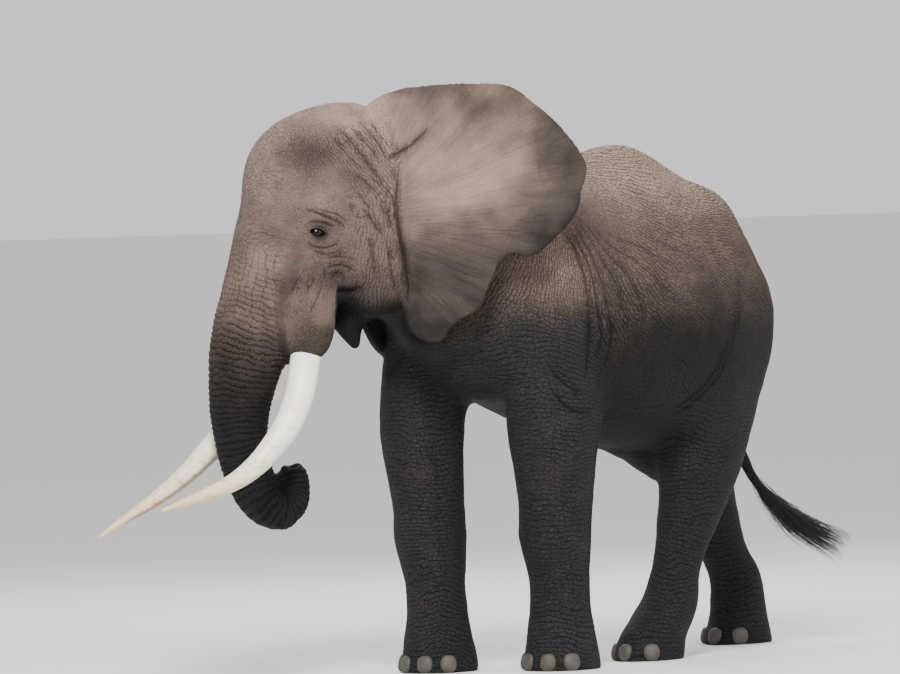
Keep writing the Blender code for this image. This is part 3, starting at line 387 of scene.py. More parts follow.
# ---------------------------------------------------------------- head and trunk
TRUNK_LINE = (  # forward, left, height, half depth, half width
    (0.31, 0.00, 2.95, 0.315, 0.31),
    (0.43, 0.00, 2.75, 0.315, 0.315),
    (0.52, 0.00, 2.55, 0.292, 0.292),
    (0.61, -0.01, 2.33, 0.268, 0.265),
    (0.695, -0.03, 2.12, 0.249, 0.248),
    (0.753, -0.055, 1.90, 0.214, 0.226),
    (0.783, -0.08, 1.70, 0.186, 0.200),
    (0.778, -0.105, 1.50, 0.161, 0.174),
    (0.742, -0.125, 1.32, 0.154, 0.160),
    (0.695, -0.14, 1.18, 0.141, 0.147),
    (0.62, -0.15, 1.095, 0.131, 0.137),
    (0.53, -0.155, 1.075, 0.119, 0.127),
    (0.46, -0.155, 1.115, 0.108, 0.118),
    (0.435, -0.155, 1.19, 0.100, 0.110),
    (0.44, -0.155, 1.255, 0.096, 0.106),
)


def trunk_stations():
    return [(head_spot(*place), depth, depth, wide) for *place, depth, wide in TRUNK_LINE]


def ahead_of_head():
    return np.array(HEAD.to_3x3() @ Vector((0, -1, 0)))


def head_masses():
    def lump(forward, left, height, sizes, blend, **turns):
        return Lump(head_spot(forward, left, height), sizes, blend, frame=HEAD, **turns)

    yield lump(0.05, 0.02, 3.05, (0.49, 0.38, 0.497), 0.12)  # braincase and crown
    yield lump(0.335, 0.01, 3.085, (0.33, 0.32, 0.33), 0.18)  # forehead
    yield lump(-0.22, 0, 2.85, (0.38, 0.38, 0.50), 0.15)  # back of the skull
    yield Tube(trunk_stations(), ahead_of_head(), 0.12)
    yield Tube([
        (head_spot(-0.10, 0, 2.50), 0.22, 0.22, 0.24),
        (head_spot(0.02, 0, 2.32), 0.15, 0.17, 0.17),
        (head_spot(0.06, 0, 2.18), 0.09, 0.10, 0.10),
        (head_spot(0.035, 0, 2.06), 0.05, 0.05, 0.055),
    ], (0, 0, 1), 0.08)  # lower jaw down to the hanging lip
    for side in (1, -1):
        yield lump(0.10, 0.25 * side, 2.74, (0.34, 0.17, 0.30), 0.14)  # cheekbone
        yield lump(0.38, 0.27 * side, 2.84, (0.17, 0.10, 0.075), 0.10, pitch=math.radians(-12))  # brow
        yield lump(-0.06, 0.23 * side, 2.46, (0.24, 0.15, 0.27), 0.12)  # jaw muscle
        yield Tube([
            (head_spot(0.36, 0.20 * side, 2.66), 0.18, 0.18, 0.17),
            (head_spot(0.42, 0.24 * side, 2.36), 0.17, 0.18, 0.165),
            (head_spot(0.43, 0.265 * side, 2.14), 0.150, 0.165, 0.150),
            (head_spot(0.435, 0.27 * side, 2.06), 0.125, 0.14, 0.125),
        ], ahead_of_head(), 0.20)  # sheath of the tusk
        yield Tube([
            (head_spot(0.02, 0.16 * side, 3.20), 0.18, 0.18, 0.15),
            (head_spot(-0.06, 0.29 * side, 3.25), 0.15, 0.18, 0.12),
            (head_spot(-0.14, 0.40 * side, 3.28), 0.13, 0.16, 0.06),
        ], (0, 0, 1), 0.12)  # muscle that lifts the ear
        yield Tube([
            (head_spot(-0.12, 0.33 * side, 3.20), 0.10, 0.10, 0.08),
            (head_spot(-0.12, 0.37 * side, 2.90), 0.12, 0.12, 0.07),
            (head_spot(-0.11, 0.36 * side, 2.60), 0.11, 0.11, 0.06),
            (head_spot(-0.10, 0.30 * side, 2.35), 0.08, 0.08, 0.05),
        ], ahead_of_head(), 0.10)  # root of the ear
        yield lump(0.27, 0.41 * side, 3.18, (0.17, 0.10, 0.14), 0.16, hollow=True)  # temple
        yield lump(0.365, 0.40 * side, 2.715, (0.08, 0.06, 0.05), 0.06, hollow=True)  # eye socket


def neck_masses():
    yield Tube([
        (head_spot(-0.05, 0, 2.80), 0.46, 0.42, 0.33),
        (spot(1.45, -0.17, 2.68), 0.46, 0.54, 0.37),
        (spot(1.15, -0.03, 2.56), 0.52, 0.68, 0.44),
        (spot(0.85, 0.0, 2.45), 0.58, 0.70, 0.48),
    ], (0, 0, 1), 0.20)


def body_masses():
    """Every mass of flesh but the ears."""
    return [*torso_masses(), *tail_masses(), *leg_masses(), *neck_masses(), *head_masses()]


# ---------------------------------------------------------------- tusks and nails
TUSK_LINES = {  # forward, off the middle, height, half thickness
    1: (
        (0.38, 0.205, 2.28, 0.082), (0.43, 0.235, 2.12, 0.090), (0.452, 0.25, 2.00, 0.093),
        (0.486, 0.262, 1.86, 0.092), (0.537, 0.28, 1.707, 0.090), (0.646, 0.305, 1.525, 0.083),
        (0.822, 0.335, 1.344, 0.070), (1.02, 0.36, 1.215, 0.054), (1.266, 0.385, 1.130, 0.034),
        (1.41, 0.395, 1.087, 0.020), (1.505, 0.40, 1.060, 0.009),
    ),
    -1: (
        (0.37, 0.205, 2.28, 0.082), (0.42, 0.235, 2.12, 0.090), (0.455, 0.25, 2.00, 0.093),
        (0.53, 0.27, 1.845, 0.091), (0.67, 0.295, 1.675, 0.086), (0.85, 0.32, 1.517, 0.077),
        (1.05, 0.34, 1.335, 0.061), (1.25, 0.36, 1.192, 0.046), (1.43, 0.38, 1.088, 0.030),
        (1.54, 0.389, 1.026, 0.020), (1.625, 0.395, 0.970, 0.009),
    ),
}
TUFT_LINE = (  # forward, left, height, half thickness of the brush of long hairs
    (-1.585, 0.13, 0.878, 0.030),
    (-1.675, 0.175, 0.80, 0.048),
    (-1.785, 0.23, 0.735, 0.052),
    (-1.90, 0.285, 0.685, 0.040),
    (-1.97, 0.32, 0.655, 0.020),
)
NAIL_FOOT = 0.004  # the nails end this far off the ground
EYE_RADIUS = 0.038
EYE_SINK = 0.55  # share of its radius that the eye's middle lies under the skin
EYE_PLACE = (0.362, 2.712)  # forward and height on the side of the head
NAIL_SIZE = (0.052, 0.030, 0.055)  # half its width, thickness and height
FORE_NAILS = (-56, -20, 18, 54)  # degrees off straight ahead
HIND_NAILS = (-42, 0, 42)


def soles():
    """(name, middle, half length, half width, nail angles) of each foot."""
    for name, (forward, off) in FORE_FEET.items():
        yield f"fore_{name}", (forward, off * SIDES[name]), 0.2425, 0.240, FORE_NAILS
    for name, (forward, off) in HIND_FEET.items():
        yield f"hind_{name}", (forward, off * SIDES[name]), 0.2435, 0.205, HIND_NAILS


# ---------------------------------------------------------------- ears
EAR_ROOT = (-0.12, 0.40)  # forward and off the middle of the head
EAR_PLATE = 0.03  # thickness before the root is thickened
EAR_GROWTH = 1.025  # makes good what smoothing takes off the rim
EAR_HEART = (0.42, 2.92)  # where the rings of the ear centre: back from the root, height
EAR_OUTLINE = (  # back from the root, height, from the foot of the lobe round by the rear
    (0.06, 2.11), (0.14, 2.04), (0.25, 2.03), (0.31, 2.12), (0.45, 2.2), (0.555, 2.33),
    (0.615, 2.48), (0.7, 2.53), (0.82, 2.5), (0.97, 2.59), (1.07, 2.72), (1.15, 2.89),
    (1.19, 3.04), (1.1, 3.21), (0.94, 3.38), (0.76, 3.51), (0.52, 3.57), (0.28, 3.58),
    (0.06, 3.56), (-0.1, 3.49), (-0.14, 3.35), (-0.08, 3.08), (-0.04, 2.73), (0, 2.38),
)


def ear_outline(count):
    """The outline as count points, evenly apart."""
    ring = np.array([*EAR_OUTLINE, *EAR_OUTLINE[:2]])
    rows = smooth_rows(np.column_stack([ring, np.zeros(len(ring))]), 0.004)[:, :2]
    start = np.linalg.norm(rows - ring[1], axis=1)[: len(rows) // 2].argmin()
    rows = rows[start:]
    run = np.concatenate([[0], np.linalg.norm(np.diff(rows, axis=0), axis=1).cumsum()])
    even = np.linspace(0, run[-1], count, endpoint=False)
    return np.stack([np.interp(even, run, column) for column in rows.T], axis=1)


def ear_bend(back, height):
    """How far the middle of the ear stands out from its flat plane."""
    span = np.clip(back / 1.15, 0, 1)
    belly = 0.075 * np.sin(span * math.pi) * np.clip((height - 2.1) / 0.9, 0, 1)
    crest = np.clip((height - 3.33) / 0.28, 0, 1) ** 2
    curl = np.clip((back - 0.80) / 0.38, 0, 1) ** 2
    lobe = np.clip((2.75 - height) / 0.7, 0, 1) ** 2
    ripple = 0.018 * np.sin(9 * height + 3 * back) * span
    return belly - 0.13 * crest - 0.10 * curl - 0.10 * lobe + ripple


def ear_thickness(back):
    """Thickest at the root."""
    return 0.030 + 0.045 * np.exp(-np.maximum(back + 0.02, 0) / 0.10)


def ear_frame(side):
    """Columns are back along the ear, up, and out of its outer face; then its root."""
    spread = EAR_SPREAD[side]
    back = Vector((math.sin(spread) * side, math.cos(spread), 0))
    out = Vector((math.cos(spread) * side, -math.sin(spread), 0))
    turn = HEAD.to_3x3()
    axes = np.array([turn @ back, turn @ Vector((0, 0, 1)), turn @ out])
    return axes, head_spot(EAR_ROOT[0], EAR_ROOT[1] * side, 0)


# ---------------------------------------------------------------- meshes, their rows, and random heights
def link_new(name, data):
    made = bpy.data.objects.new(name, data)
    bpy.context.scene.collection.objects.link(made)
    return made


def new_object(name, bm):
    mesh = bpy.data.meshes.new(name)
    bm.to_mesh(mesh)
    bm.free()
    return link_new(name, mesh)


def shown_mesh(item):
    """The item's mesh with its modifiers applied."""
    graph = bpy.context.evaluated_depsgraph_get()
    return bpy.data.meshes.new_from_object(item.evaluated_get(graph))


def remeshed(item, voxel):
    """The item as one closed mesh with faces about a voxel across."""
    modifier = item.modifiers.new("whole", "REMESH")
    modifier.mode = "VOXEL"
    modifier.voxel_size = voxel
    return shown_mesh(item)


def face_outwards(bm):
    bmesh.ops.recalc_face_normals(bm, faces=bm.faces)
    if bm.calc_volume(signed=True) < 0:
        bmesh.ops.reverse_faces(bm, faces=bm.faces)


def cut_level(bm, height):
    """Cuts off what lies under a height and closes the cut."""
    geom = [*bm.verts, *bm.edges, *bm.faces]
    down = (0, 0, -1)
    made = bmesh.ops.bisect_plane(bm, geom=geom, plane_co=(0, 0, height), plane_no=down, clear_outer=True)
    cut = [item for item in made["geom_cut"] if isinstance(item, bmesh.types.BMEdge)]
    bmesh.ops.holes_fill(bm, edges=cut)


def split_long(bm, too_long):
    """Halves the edges that are too long, and leaves only triangles."""
    bmesh.ops.subdivide_edges(bm, edges=[edge for edge in bm.edges if too_long(edge)], cuts=1)
    bmesh.ops.triangulate(bm, faces=[face for face in bm.faces if len(face.verts) > 3])


def rows_of(items, key):
    values = np.empty(len(items) * 3, np.float32)
    items.foreach_get(key, values)
    return values.reshape(-1, 3).astype(float)


def points_of(mesh):
    return rows_of(mesh.vertices, "co")


def normals_of(mesh):
    return rows_of(mesh.vertex_normals, "vector")


def put_points(mesh, points):
    mesh.vertices.foreach_set("co", points.astype(np.float32).ravel())
    mesh.update()


def store(mesh, name, values, kind="FLOAT"):
    """Keeps a number for each vertex, or a vector where kind says so."""
    made = mesh.attributes.get(name) or mesh.attributes.new(name, kind, "POINT")
    made.data.foreach_set("value" if kind == "FLOAT" else "vector", np.asarray(values, np.float32).ravel())


def read(mesh, name):
    values = np.empty(len(mesh.vertices), np.float32)
    mesh.attributes[name].data.foreach_get("value", values)
    return values.astype(float)


def evened(mesh, points, passes, strength):
    """Points drawn towards the middle of their neighbours; strength is a share, for all or for each."""
    ends = np.empty(len(mesh.edges) * 2, np.int32)
    mesh.edges.foreach_get("vertices", ends)
    one, other = ends.reshape(-1, 2).T
    count = np.bincount(one, minlength=len(points)) + np.bincount(other, minlength=len(points))
    for _ in range(passes):
        middle = np.empty_like(points)
        for axis in range(3):
            sums = np.bincount(one, points[other, axis], len(points))
            sums += np.bincount(other, points[one, axis], len(points))
            middle[:, axis] = sums / count
        points = points + (middle - points) * strength
    return points


def smooth(mesh, passes, strength):
    """Evens the surface out; strength is one share for each vertex."""
    put_points(mesh, evened(mesh, points_of(mesh), passes, strength[:, None]))


DRIFT_CELLS = 32  # each way before the random heights repeat
SEED_SHIFT = 7.31  # cells between the fields of two seeds


def ramp(value, low, high):
    """0 at low, 1 at high, with soft ends."""
    part = np.clip((value - low) / (high - low), 0, 1)
    return part * part * (3 - 2 * part)


def drift(points, size, seed):
    """Smooth random heights from -1 to 1 over space, with lumps about a size across."""
    place = points / size + seed * SEED_SHIFT
    cell = np.floor(place).astype(int)
    part = place - cell
    part = part * part * (3 - 2 * part)
    table = np.random.default_rng(seed).uniform(-1, 1, (DRIFT_CELLS,) * 3)
    found = np.zeros(len(points))
    for corner in itertools.product((0, 1), repeat=3):
        share = np.prod(np.where(corner, part, 1 - part), axis=1)
        i, j, k = ((cell + corner) % DRIFT_CELLS).T
        found += table[i, j, k] * share
    return found


# ---------------------------------------------------------------- skin from the masses
def make_skin(voxel, passes=4):
    """The masses as one closed mesh with faces about a voxel across."""
    masses = body_masses()
    bm = bmesh.new()
    for mass in masses:
        for matrix in mass.seeds():
            bmesh.ops.create_icosphere(bm, subdivisions=2, radius=1, matrix=matrix)
    rough = new_object("rough", bm)
    mesh = remeshed(rough, voxel)
    bpy.data.objects.remove(rough)
    settle(mesh, masses, passes)
    return link_new("skin", mesh)


def settle(mesh, masses, passes, lattice=0.035):
    """Moves the mesh onto the blended masses, evening its vertices out as it goes."""
    points = points_of(mesh)
    field = Field(masses, points, lattice)
    for turn in range(passes):
        if turn < passes - 1:
            points = evened(mesh, points, 1, 0.5)
        points = onto_flesh(field, points)
    put_points(mesh, points)


class Field:
    """The signed distance of the flesh, kept on a lattice of points near a mesh."""

    def __init__(self, masses, near, step, band=0.16):
        self.low, self.step = near.min(0) - band - 2 * step, step
        shape = ((near.max(0) + band + 2 * step - self.low) / step).astype(int) + 2
        close = np.zeros(shape, bool)
        close[tuple(((near - self.low) / step).round().astype(int).T)] = True
        for _ in range(int(band / step) + 1):
            grown = close.copy()
            for axis in range(3):
                grown |= np.roll(close, 1, axis) | np.roll(close, -1, axis)
            close = grown
        self.value = np.full(shape, 0.0)
        places = np.argwhere(close)
        self.value[close] = flesh_distance(masses, self.low + places * step)

    def look(self, points):
        """Distance and slope at the points."""
        place = (points - self.low) / self.step
        cell = place.astype(int)
        x, y, z = (place - cell).T
        corner = {}
        for i, j, k in itertools.product((0, 1), repeat=3):
            corner[i, j, k] = self.value[cell[:, 0] + i, cell[:, 1] + j, cell[:, 2] + k]
        low = {(i, j): corner[i, j, 0] * (1 - z) + corner[i, j, 1] * z for i in (0, 1) for j in (0, 1)}
        rise = {(i, j): corner[i, j, 1] - corner[i, j, 0] for i in (0, 1) for j in (0, 1)}
        row = [low[i, 0] * (1 - y) + low[i, 1] * y for i in (0, 1)]
        found = row[0] * (1 - x) + row[1] * x
        slope_x = row[1] - row[0]
        slope_y = (low[0, 1] - low[0, 0]) * (1 - x) + (low[1, 1] - low[1, 0]) * x
        up = [rise[i, 0] * (1 - y) + rise[i, 1] * y for i in (0, 1)]
        slope_z = up[0] * (1 - x) + up[1] * x
        return found, np.stack([slope_x, slope_y, slope_z], axis=1) / self.step


def onto_flesh(field, points, steps=2):
    for _ in range(steps):
        here, slope = field.look(points)
        steep = np.maximum((slope**2).sum(1), STEEP)
        points = points - slope * (np.clip(here, -LONGEST_STEP, LONGEST_STEP) / steep)[:, None]
    return points


def onto_masses(masses, points, reach=0.004):
    """Moves a few points onto the masses, without a field."""
    for _ in range(3):
        here = flesh_distance(masses, points)
        rise = [flesh_distance(masses, points + step) - flesh_distance(masses, points - step)
                for step in np.eye(3) * reach]
        slope = np.stack(rise, axis=1) / (2 * reach)
        points = points - slope * (here / np.maximum((slope**2).sum(1), STEEP))[:, None]
    return points


def make_ear_sheet(name, side, rings, spokes):
    """A round sheet drawn out to the ear's outline, bent and given its thickness."""
    bm = bmesh.new()
    line = [bm.verts.new((ring / rings, 0, 0)) for ring in range(rings + 1)]
    edges = [bm.edges.new(pair) for pair in zip(line, line[1:])]
    bmesh.ops.spin(bm, geom=[*line, *edges], cent=(0, 0, 0), axis=(0, 0, 1), angle=2 * math.pi,
                   steps=spokes, use_merge=True, use_duplicate=False)
    bmesh.ops.remove_doubles(bm, verts=bm.verts, dist=1e-5)
    bmesh.ops.recalc_face_normals(bm, faces=bm.faces)
    edge = ear_outline(spokes)
    axes, root = ear_frame(side)
    for vert in bm.verts:
        ring = math.hypot(vert.co.x, vert.co.y)
        spoke = math.atan2(vert.co.y, vert.co.x) / (2 * math.pi) * spokes
        rim = edge[round(spoke) % spokes]
        back, height = np.array(EAR_HEART) + (rim - EAR_HEART) * ring * EAR_GROWTH
        out = ear_bend(back, height)
        vert.co = root + back * axes[0] + height * axes[1] + out * axes[2]
    bmesh.ops.recalc_face_normals(bm, faces=bm.faces)
    bm.normal_update()
    outer = set(bm.verts)
    bmesh.ops.solidify(bm, geom=bm.faces, thickness=EAR_PLATE)
    for vert in bm.verts:
        back, height, _ = axes @ (np.array(vert.co) - root)
        half = ear_thickness(back) / 2
        out = ear_bend(back, height) + (half if vert in outer else -half)
        vert.co = root + back * axes[0] + height * axes[1] + out * axes[2]
    face_outwards(bm)
    return new_object(name, bm)


# ---------------------------------------------------------------- bars along a line
END_ANGLES = (0.5, 0.9, 1.25, 1.5)  # radians round to each ring of a rounded end


def round_bar(name, stations, sides):
    """A closed bar of round section along (point, half thickness) stations."""
    curve = bpy.data.curves.new(name, "CURVE")
    curve.dimensions = "3D"
    curve.bevel_depth = 1.0
    curve.bevel_resolution = sides // 2 - 2
    curve.use_fill_caps = True
    spline = curve.splines.new("POLY")
    spline.points.add(len(stations) - 1)
    for point, (place, half) in zip(spline.points, stations):
        point.co = (*place, 1)
        point.radius = half
    bar = link_new(name, curve)
    mesh = shown_mesh(bar)
    bpy.data.objects.remove(bar)
    bm = bmesh.new()
    bm.from_mesh(mesh)
    bmesh.ops.remove_doubles(bm, verts=bm.verts, dist=1e-5)
    face_outwards(bm)
    return new_object(name, bm)


def rounded(rows):
    """(point, half thickness) stations whose last end is rounded off."""
    before, last = rows[-2:]
    ahead = (last[:3] - before[:3]) / np.linalg.norm(last[:3] - before[:3])
    half = last[3]
    ends = [(last[:3] + ahead * half * math.sin(a), half * math.cos(a)) for a in END_ANGLES]
    return [(row[:3], row[3]) for row in rows] + ends


def tusk_rows(side, step):
    rows = [[*head_spot(forward, off * side, height), half]
            for forward, off, height, half in TUSK_LINES[side]]
    return smooth_rows(np.array(rows), step)


def tail_rows(step):
    return smooth_rows(np.array([[*spot(*place), half] for *place, half in TAIL_LINE]), step)


# ---------------------------------------------------------------- folds
# Each fold is (depth, half width, points). Points on the head are (forward, height) on its side.
HEAD_FOLDS = (
    # Over the eye, and the fold of the upper lid.
    (0.009, 0.010, (0.455, 2.855), (0.388, 2.828), (0.324, 2.795), (0.249, 2.757), (0.206, 2.715)),
    (0.005, 0.008, (0.40, 2.86), (0.32, 2.83), (0.25, 2.80), (0.19, 2.76)),
    (0.006, 0.009, (0.45, 2.755), (0.40, 2.772), (0.335, 2.762), (0.275, 2.725)),
    # Bags under the eye, and the wrinkles of the cheek.
    (0.008, 0.010, (0.452, 2.665), (0.41, 2.622), (0.345, 2.606), (0.283, 2.622), (0.245, 2.65)),
    (0.006, 0.009, (0.43, 2.60), (0.37, 2.572), (0.30, 2.570), (0.22, 2.59)),
    (0.007, 0.010, (0.345, 2.545), (0.28, 2.55), (0.20, 2.545), (0.13, 2.52)),
    (0.007, 0.010, (0.335, 2.482), (0.27, 2.50), (0.20, 2.49), (0.13, 2.455)),
    (0.005, 0.009, (0.34, 2.44), (0.29, 2.46), (0.235, 2.45), (0.20, 2.41)),
    # Upright, between the eye and the ear.
    (0.010, 0.009, (0.098, 2.845), (0.05, 2.79), (0.015, 2.72), (-0.02, 2.665), (-0.045, 2.635)),
    (0.009, 0.010, (-0.035, 2.66), (-0.058, 2.56), (-0.078, 2.45), (-0.10, 2.34)),
    (0.006, 0.009, (0.075, 2.70), (0.05, 2.60), (0.03, 2.50), (0.02, 2.42)),
    (0.008, 0.011, (0.05, 3.12), (-0.03, 3.02), (-0.09, 2.90), (-0.118, 2.78), (-0.135, 2.64)),
    # Where the ear's front edge meets the head, and over its root.
    (0.022, 0.015, (-0.165, 3.14), (-0.145, 2.99), (-0.125, 2.82), (-0.135, 2.66), (-0.16, 2.49),
     (-0.175, 2.36), (-0.17, 2.24)),
    (0.022, 0.020, (-0.34, 3.33), (-0.27, 3.25), (-0.20, 3.19), (-0.14, 3.155), (-0.07, 3.13)),
    # From the crown down to the front of the ear.
    (0.008, 0.010, (0.10, 3.06), (0.02, 2.97), (-0.04, 2.86), (-0.075, 2.75), (-0.09, 2.66)),
    (0.007, 0.010, (0.17, 3.365), (0.11, 3.27), (0.055, 3.17), (0.02, 3.11), (-0.04, 3.02)),
    (0.006, 0.010, (0.11, 3.38), (0.055, 3.29), (0.00, 3.19), (-0.04, 3.11)),
    (0.005, 0.010, (0.05, 3.39), (0.00, 3.30), (-0.05, 3.20), (-0.09, 3.11)),
    (0.005, 0.010, (-0.01, 3.38), (-0.05, 3.30), (-0.09, 3.22)),
    (0.005, 0.009, (0.23, 3.34), (0.17, 3.25), (0.11, 3.15), (0.06, 3.08)),
    (0.006, 0.010, (0.15, 2.99), (0.10, 2.92), (0.06, 2.86), (0.045, 2.80)),
    (0.005, 0.009, (0.21, 2.90), (0.16, 2.85), (0.13, 2.78), (0.12, 2.70)),
    # The mouth and its corner.
    (0.026, 0.022, (0.27, 2.362), (0.22, 2.350), (0.15, 2.352), (0.09, 2.372)),
    (0.018, 0.022, (0.24, 2.33), (0.235, 2.26), (0.24, 2.18)),
    (0.007, 0.010, (0.31, 2.36), (0.30, 2.42), (0.27, 2.45), (0.24, 2.43)),
    (0.005, 0.009, (0.36, 2.41), (0.35, 2.47), (0.39, 2.53)),
    # Between the tusk's sheath and the trunk.
    (0.005, 0.010, (0.42, 2.42), (0.47, 2.36), (0.52, 2.27)),
    (0.005, 0.010, (0.46, 2.50), (0.52, 2.43), (0.57, 2.33)),
    (0.004, 0.010, (0.38, 2.38), (0.42, 2.30), (0.47, 2.21)),
)
# Points on the body are (forward, height) on its flank.
BODY_FOLDS = (
    # Behind the shoulder, each fainter than the one before it.
    (0.0121, 0.0177, (1.00, 2.83), (0.89, 2.66), (0.81, 2.45), (0.785, 2.25), (0.80, 2.05), (0.83, 1.88),
     (0.86, 1.78)),
    (0.0072, 0.0136, (0.93, 2.84), (0.82, 2.65), (0.74, 2.45), (0.715, 2.25), (0.71, 2.05), (0.73, 1.88)),
    (0.0083, 0.0163, (0.86, 2.86), (0.73, 2.62), (0.655, 2.40), (0.64, 2.20), (0.645, 2.00), (0.66, 1.80)),
    (0.0055, 0.0136, (0.78, 2.86), (0.64, 2.63), (0.55, 2.43), (0.53, 2.24), (0.54, 2.05)),
    (0.0060, 0.0150, (0.69, 2.85), (0.53, 2.62), (0.43, 2.44), (0.385, 2.28), (0.38, 2.10)),
    (0.0044, 0.0136, (0.61, 2.85), (0.44, 2.66), (0.30, 2.50), (0.20, 2.39), (0.14, 2.27)),
    (0.0039, 0.0136, (0.50, 2.86), (0.30, 2.69), (0.14, 2.56), (0.02, 2.46)),
    (0.0033, 0.0136, (0.30, 2.84), (0.12, 2.70), (-0.03, 2.60), (-0.15, 2.52)),
    # Over the elbow.
    (0.0044, 0.0163, (1.22, 1.92), (1.10, 1.80), (0.98, 1.74), (0.86, 1.73)),
    (0.0039, 0.0150, (1.26, 1.80), (1.12, 1.66), (0.98, 1.60), (0.84, 1.61)),
)
THIGH_FOLDS = (  # only on the left, where the thigh is brought forward
    (0.0055, 0.0150, (-0.47, 2.16), (-0.36, 1.90), (-0.23, 1.67), (-0.10, 1.50), (0.02, 1.37)),
    (0.0044, 0.0150, (-0.38, 2.02), (-0.25, 1.80), (-0.12, 1.62), (0.03, 1.46)),
    (0.0039, 0.0136, (-0.62, 2.50), (-0.55, 2.32), (-0.49, 2.14), (-0.42, 1.98)),
)
HEAD_REACH, FLANK_SIDE = 1.2, 0.72  # how far off the middle the folds' points start
FOLD_FAR = 9.0  # half widths to the nearest fold, where there is none
FOLD_REACH = 4  # half widths from its line to where a fold is lost
FULL_DEPTH = 0.008  # a fold this deep is drawn at full strength
LIP = (0.5, 1.9, 0.8)  # of the swelling beside a fold: height over its depth, half widths off, and across


def fold_lines(skin, masses):
    """(depth, half width, points on the skin) of every fold, on both sides."""
    tree = BVHTree.FromObject(skin, bpy.context.evaluated_depsgraph_get())
    for side in (1, -1):
        inwards = HEAD.to_3x3() @ Vector((-side, 0, 0))
        for depth, width, *points in HEAD_FOLDS:
            line = fine_line([head_spot(forward, HEAD_REACH * side, height) for forward, height in points])
            hits = [tree.ray_cast(Vector(point), inwards)[0] for point in line]
            yield depth, width, np.array([hit for hit in hits if hit is not None])
        for depth, width, *points in (*BODY_FOLDS, *(THIGH_FOLDS if side > 0 else ())):
            line = fine_line([spot(forward, FLANK_SIDE * side, height) for forward, height in points])
            yield depth, width, onto_masses(masses, line)


def fine_line(points):
    """A slightly unsteady line through the points."""
    line = smooth_rows(np.array(points), 0.012)
    return line + 0.006 * np.stack([drift(line, 0.11, seed) for seed in (3, 5, 8)], axis=1)


def cut_folds(points, normals, lines):
    """Heights of the folded skin over the plain one, how much shade is painted on each point in a crease,
    and rows of the nearest fold: how far to its side, how far off, both in half widths, and its strength."""
    height, crease = np.zeros(len(points)), np.zeros(len(points))
    fold = np.tile((FOLD_FAR, FOLD_FAR, 0.0), (len(points), 1))
    for depth, width, line in lines:
        near = close_to(points, line, FOLD_REACH * width)
        if not len(near):
            continue
        off = points[near][:, None] - line[None]
        gaps = np.linalg.norm(off, axis=2)
        place = gaps.argmin(1)
        rows = np.arange(len(near))
        gap = gaps[rows, place] / width
        along = np.gradient(line, axis=0)[place]
        across = np.cross(along, normals[near])
        across /= np.linalg.norm(across, axis=1, keepdims=True) + 1e-9
        aside = (off[rows, place] * across).sum(1) / width
        run = place / (len(line) - 1)
        taper = np.clip(np.minimum(run, 1 - run) * 4, 0, 1) ** 0.7
        strength = min(1, depth / FULL_DEPTH) * taper
        valley = np.exp(-gap**2)
        lips = LIP[0] * np.exp(-((gap - LIP[1]) / LIP[2]) ** 2)
        height[near] += depth * taper * (lips - valley)
        # Painted shade in the fold's crease.
        crease[near] = np.maximum(crease[near], 0.45 * strength * np.exp(-(gap / 1.5) ** 2))
        nearer = gap < fold[near, 1]
        fold[near[nearer]] = np.stack([aside, gap, strength], axis=1)[nearer]
    return height, crease, fold


def close_to(points, line, reach):
    """Places of the points in the line's box, widened by reach."""
    return np.flatnonzero(((points > line.min(0) - reach) & (points < line.max(0) + reach)).all(1))


# ---------------------------------------------------------------- where each point lies
FLOW_TOP = (0.95, 3.15)  # forward and height of the point that the flank's wrinkles fan from
FLOW_STEP = 0.026  # radians between them
RING_STEP, BAND_STEP, CHEEK_STEP = 0.034, 0.030, 0.023  # between wrinkles of the trunk, legs and cheek
TRUNK_STEP = 0.02  # along the trunk's line
EAR_MARGIN = 1.08  # the ear's skin over its plain outline
EAR_NEAR = 0.05  # how far the ear's skin lies off its middle at most
EAR_EDGE = (  # height, forward: the wrinkle on the head before the ear
    (2.30, -0.03), (2.50, -0.06), (2.70, -0.09), (2.88, -0.10), (3.02, -0.05), (3.12, 0.02), (3.36, 0.17),
)


def within_ear(back, high):
    """Whether each place on an ear's plane lies inside its outline."""
    rim, at = np.array(EAR_OUTLINE) - EAR_HEART, np.stack([back, high], axis=1) - EAR_HEART
    turns, reach = np.arctan2(rim[:, 1], rim[:, 0]), np.hypot(rim[:, 0], rim[:, 1])
    turn = np.arctan2(at[:, 1], at[:, 0])
    return np.hypot(at[:, 0], at[:, 1]) < EAR_MARGIN * np.interp(turn, turns, reach, period=2 * math.pi)


def trunk_tube():
    return Tube(trunk_stations(), ahead_of_head(), 0.12, step=TRUNK_STEP)


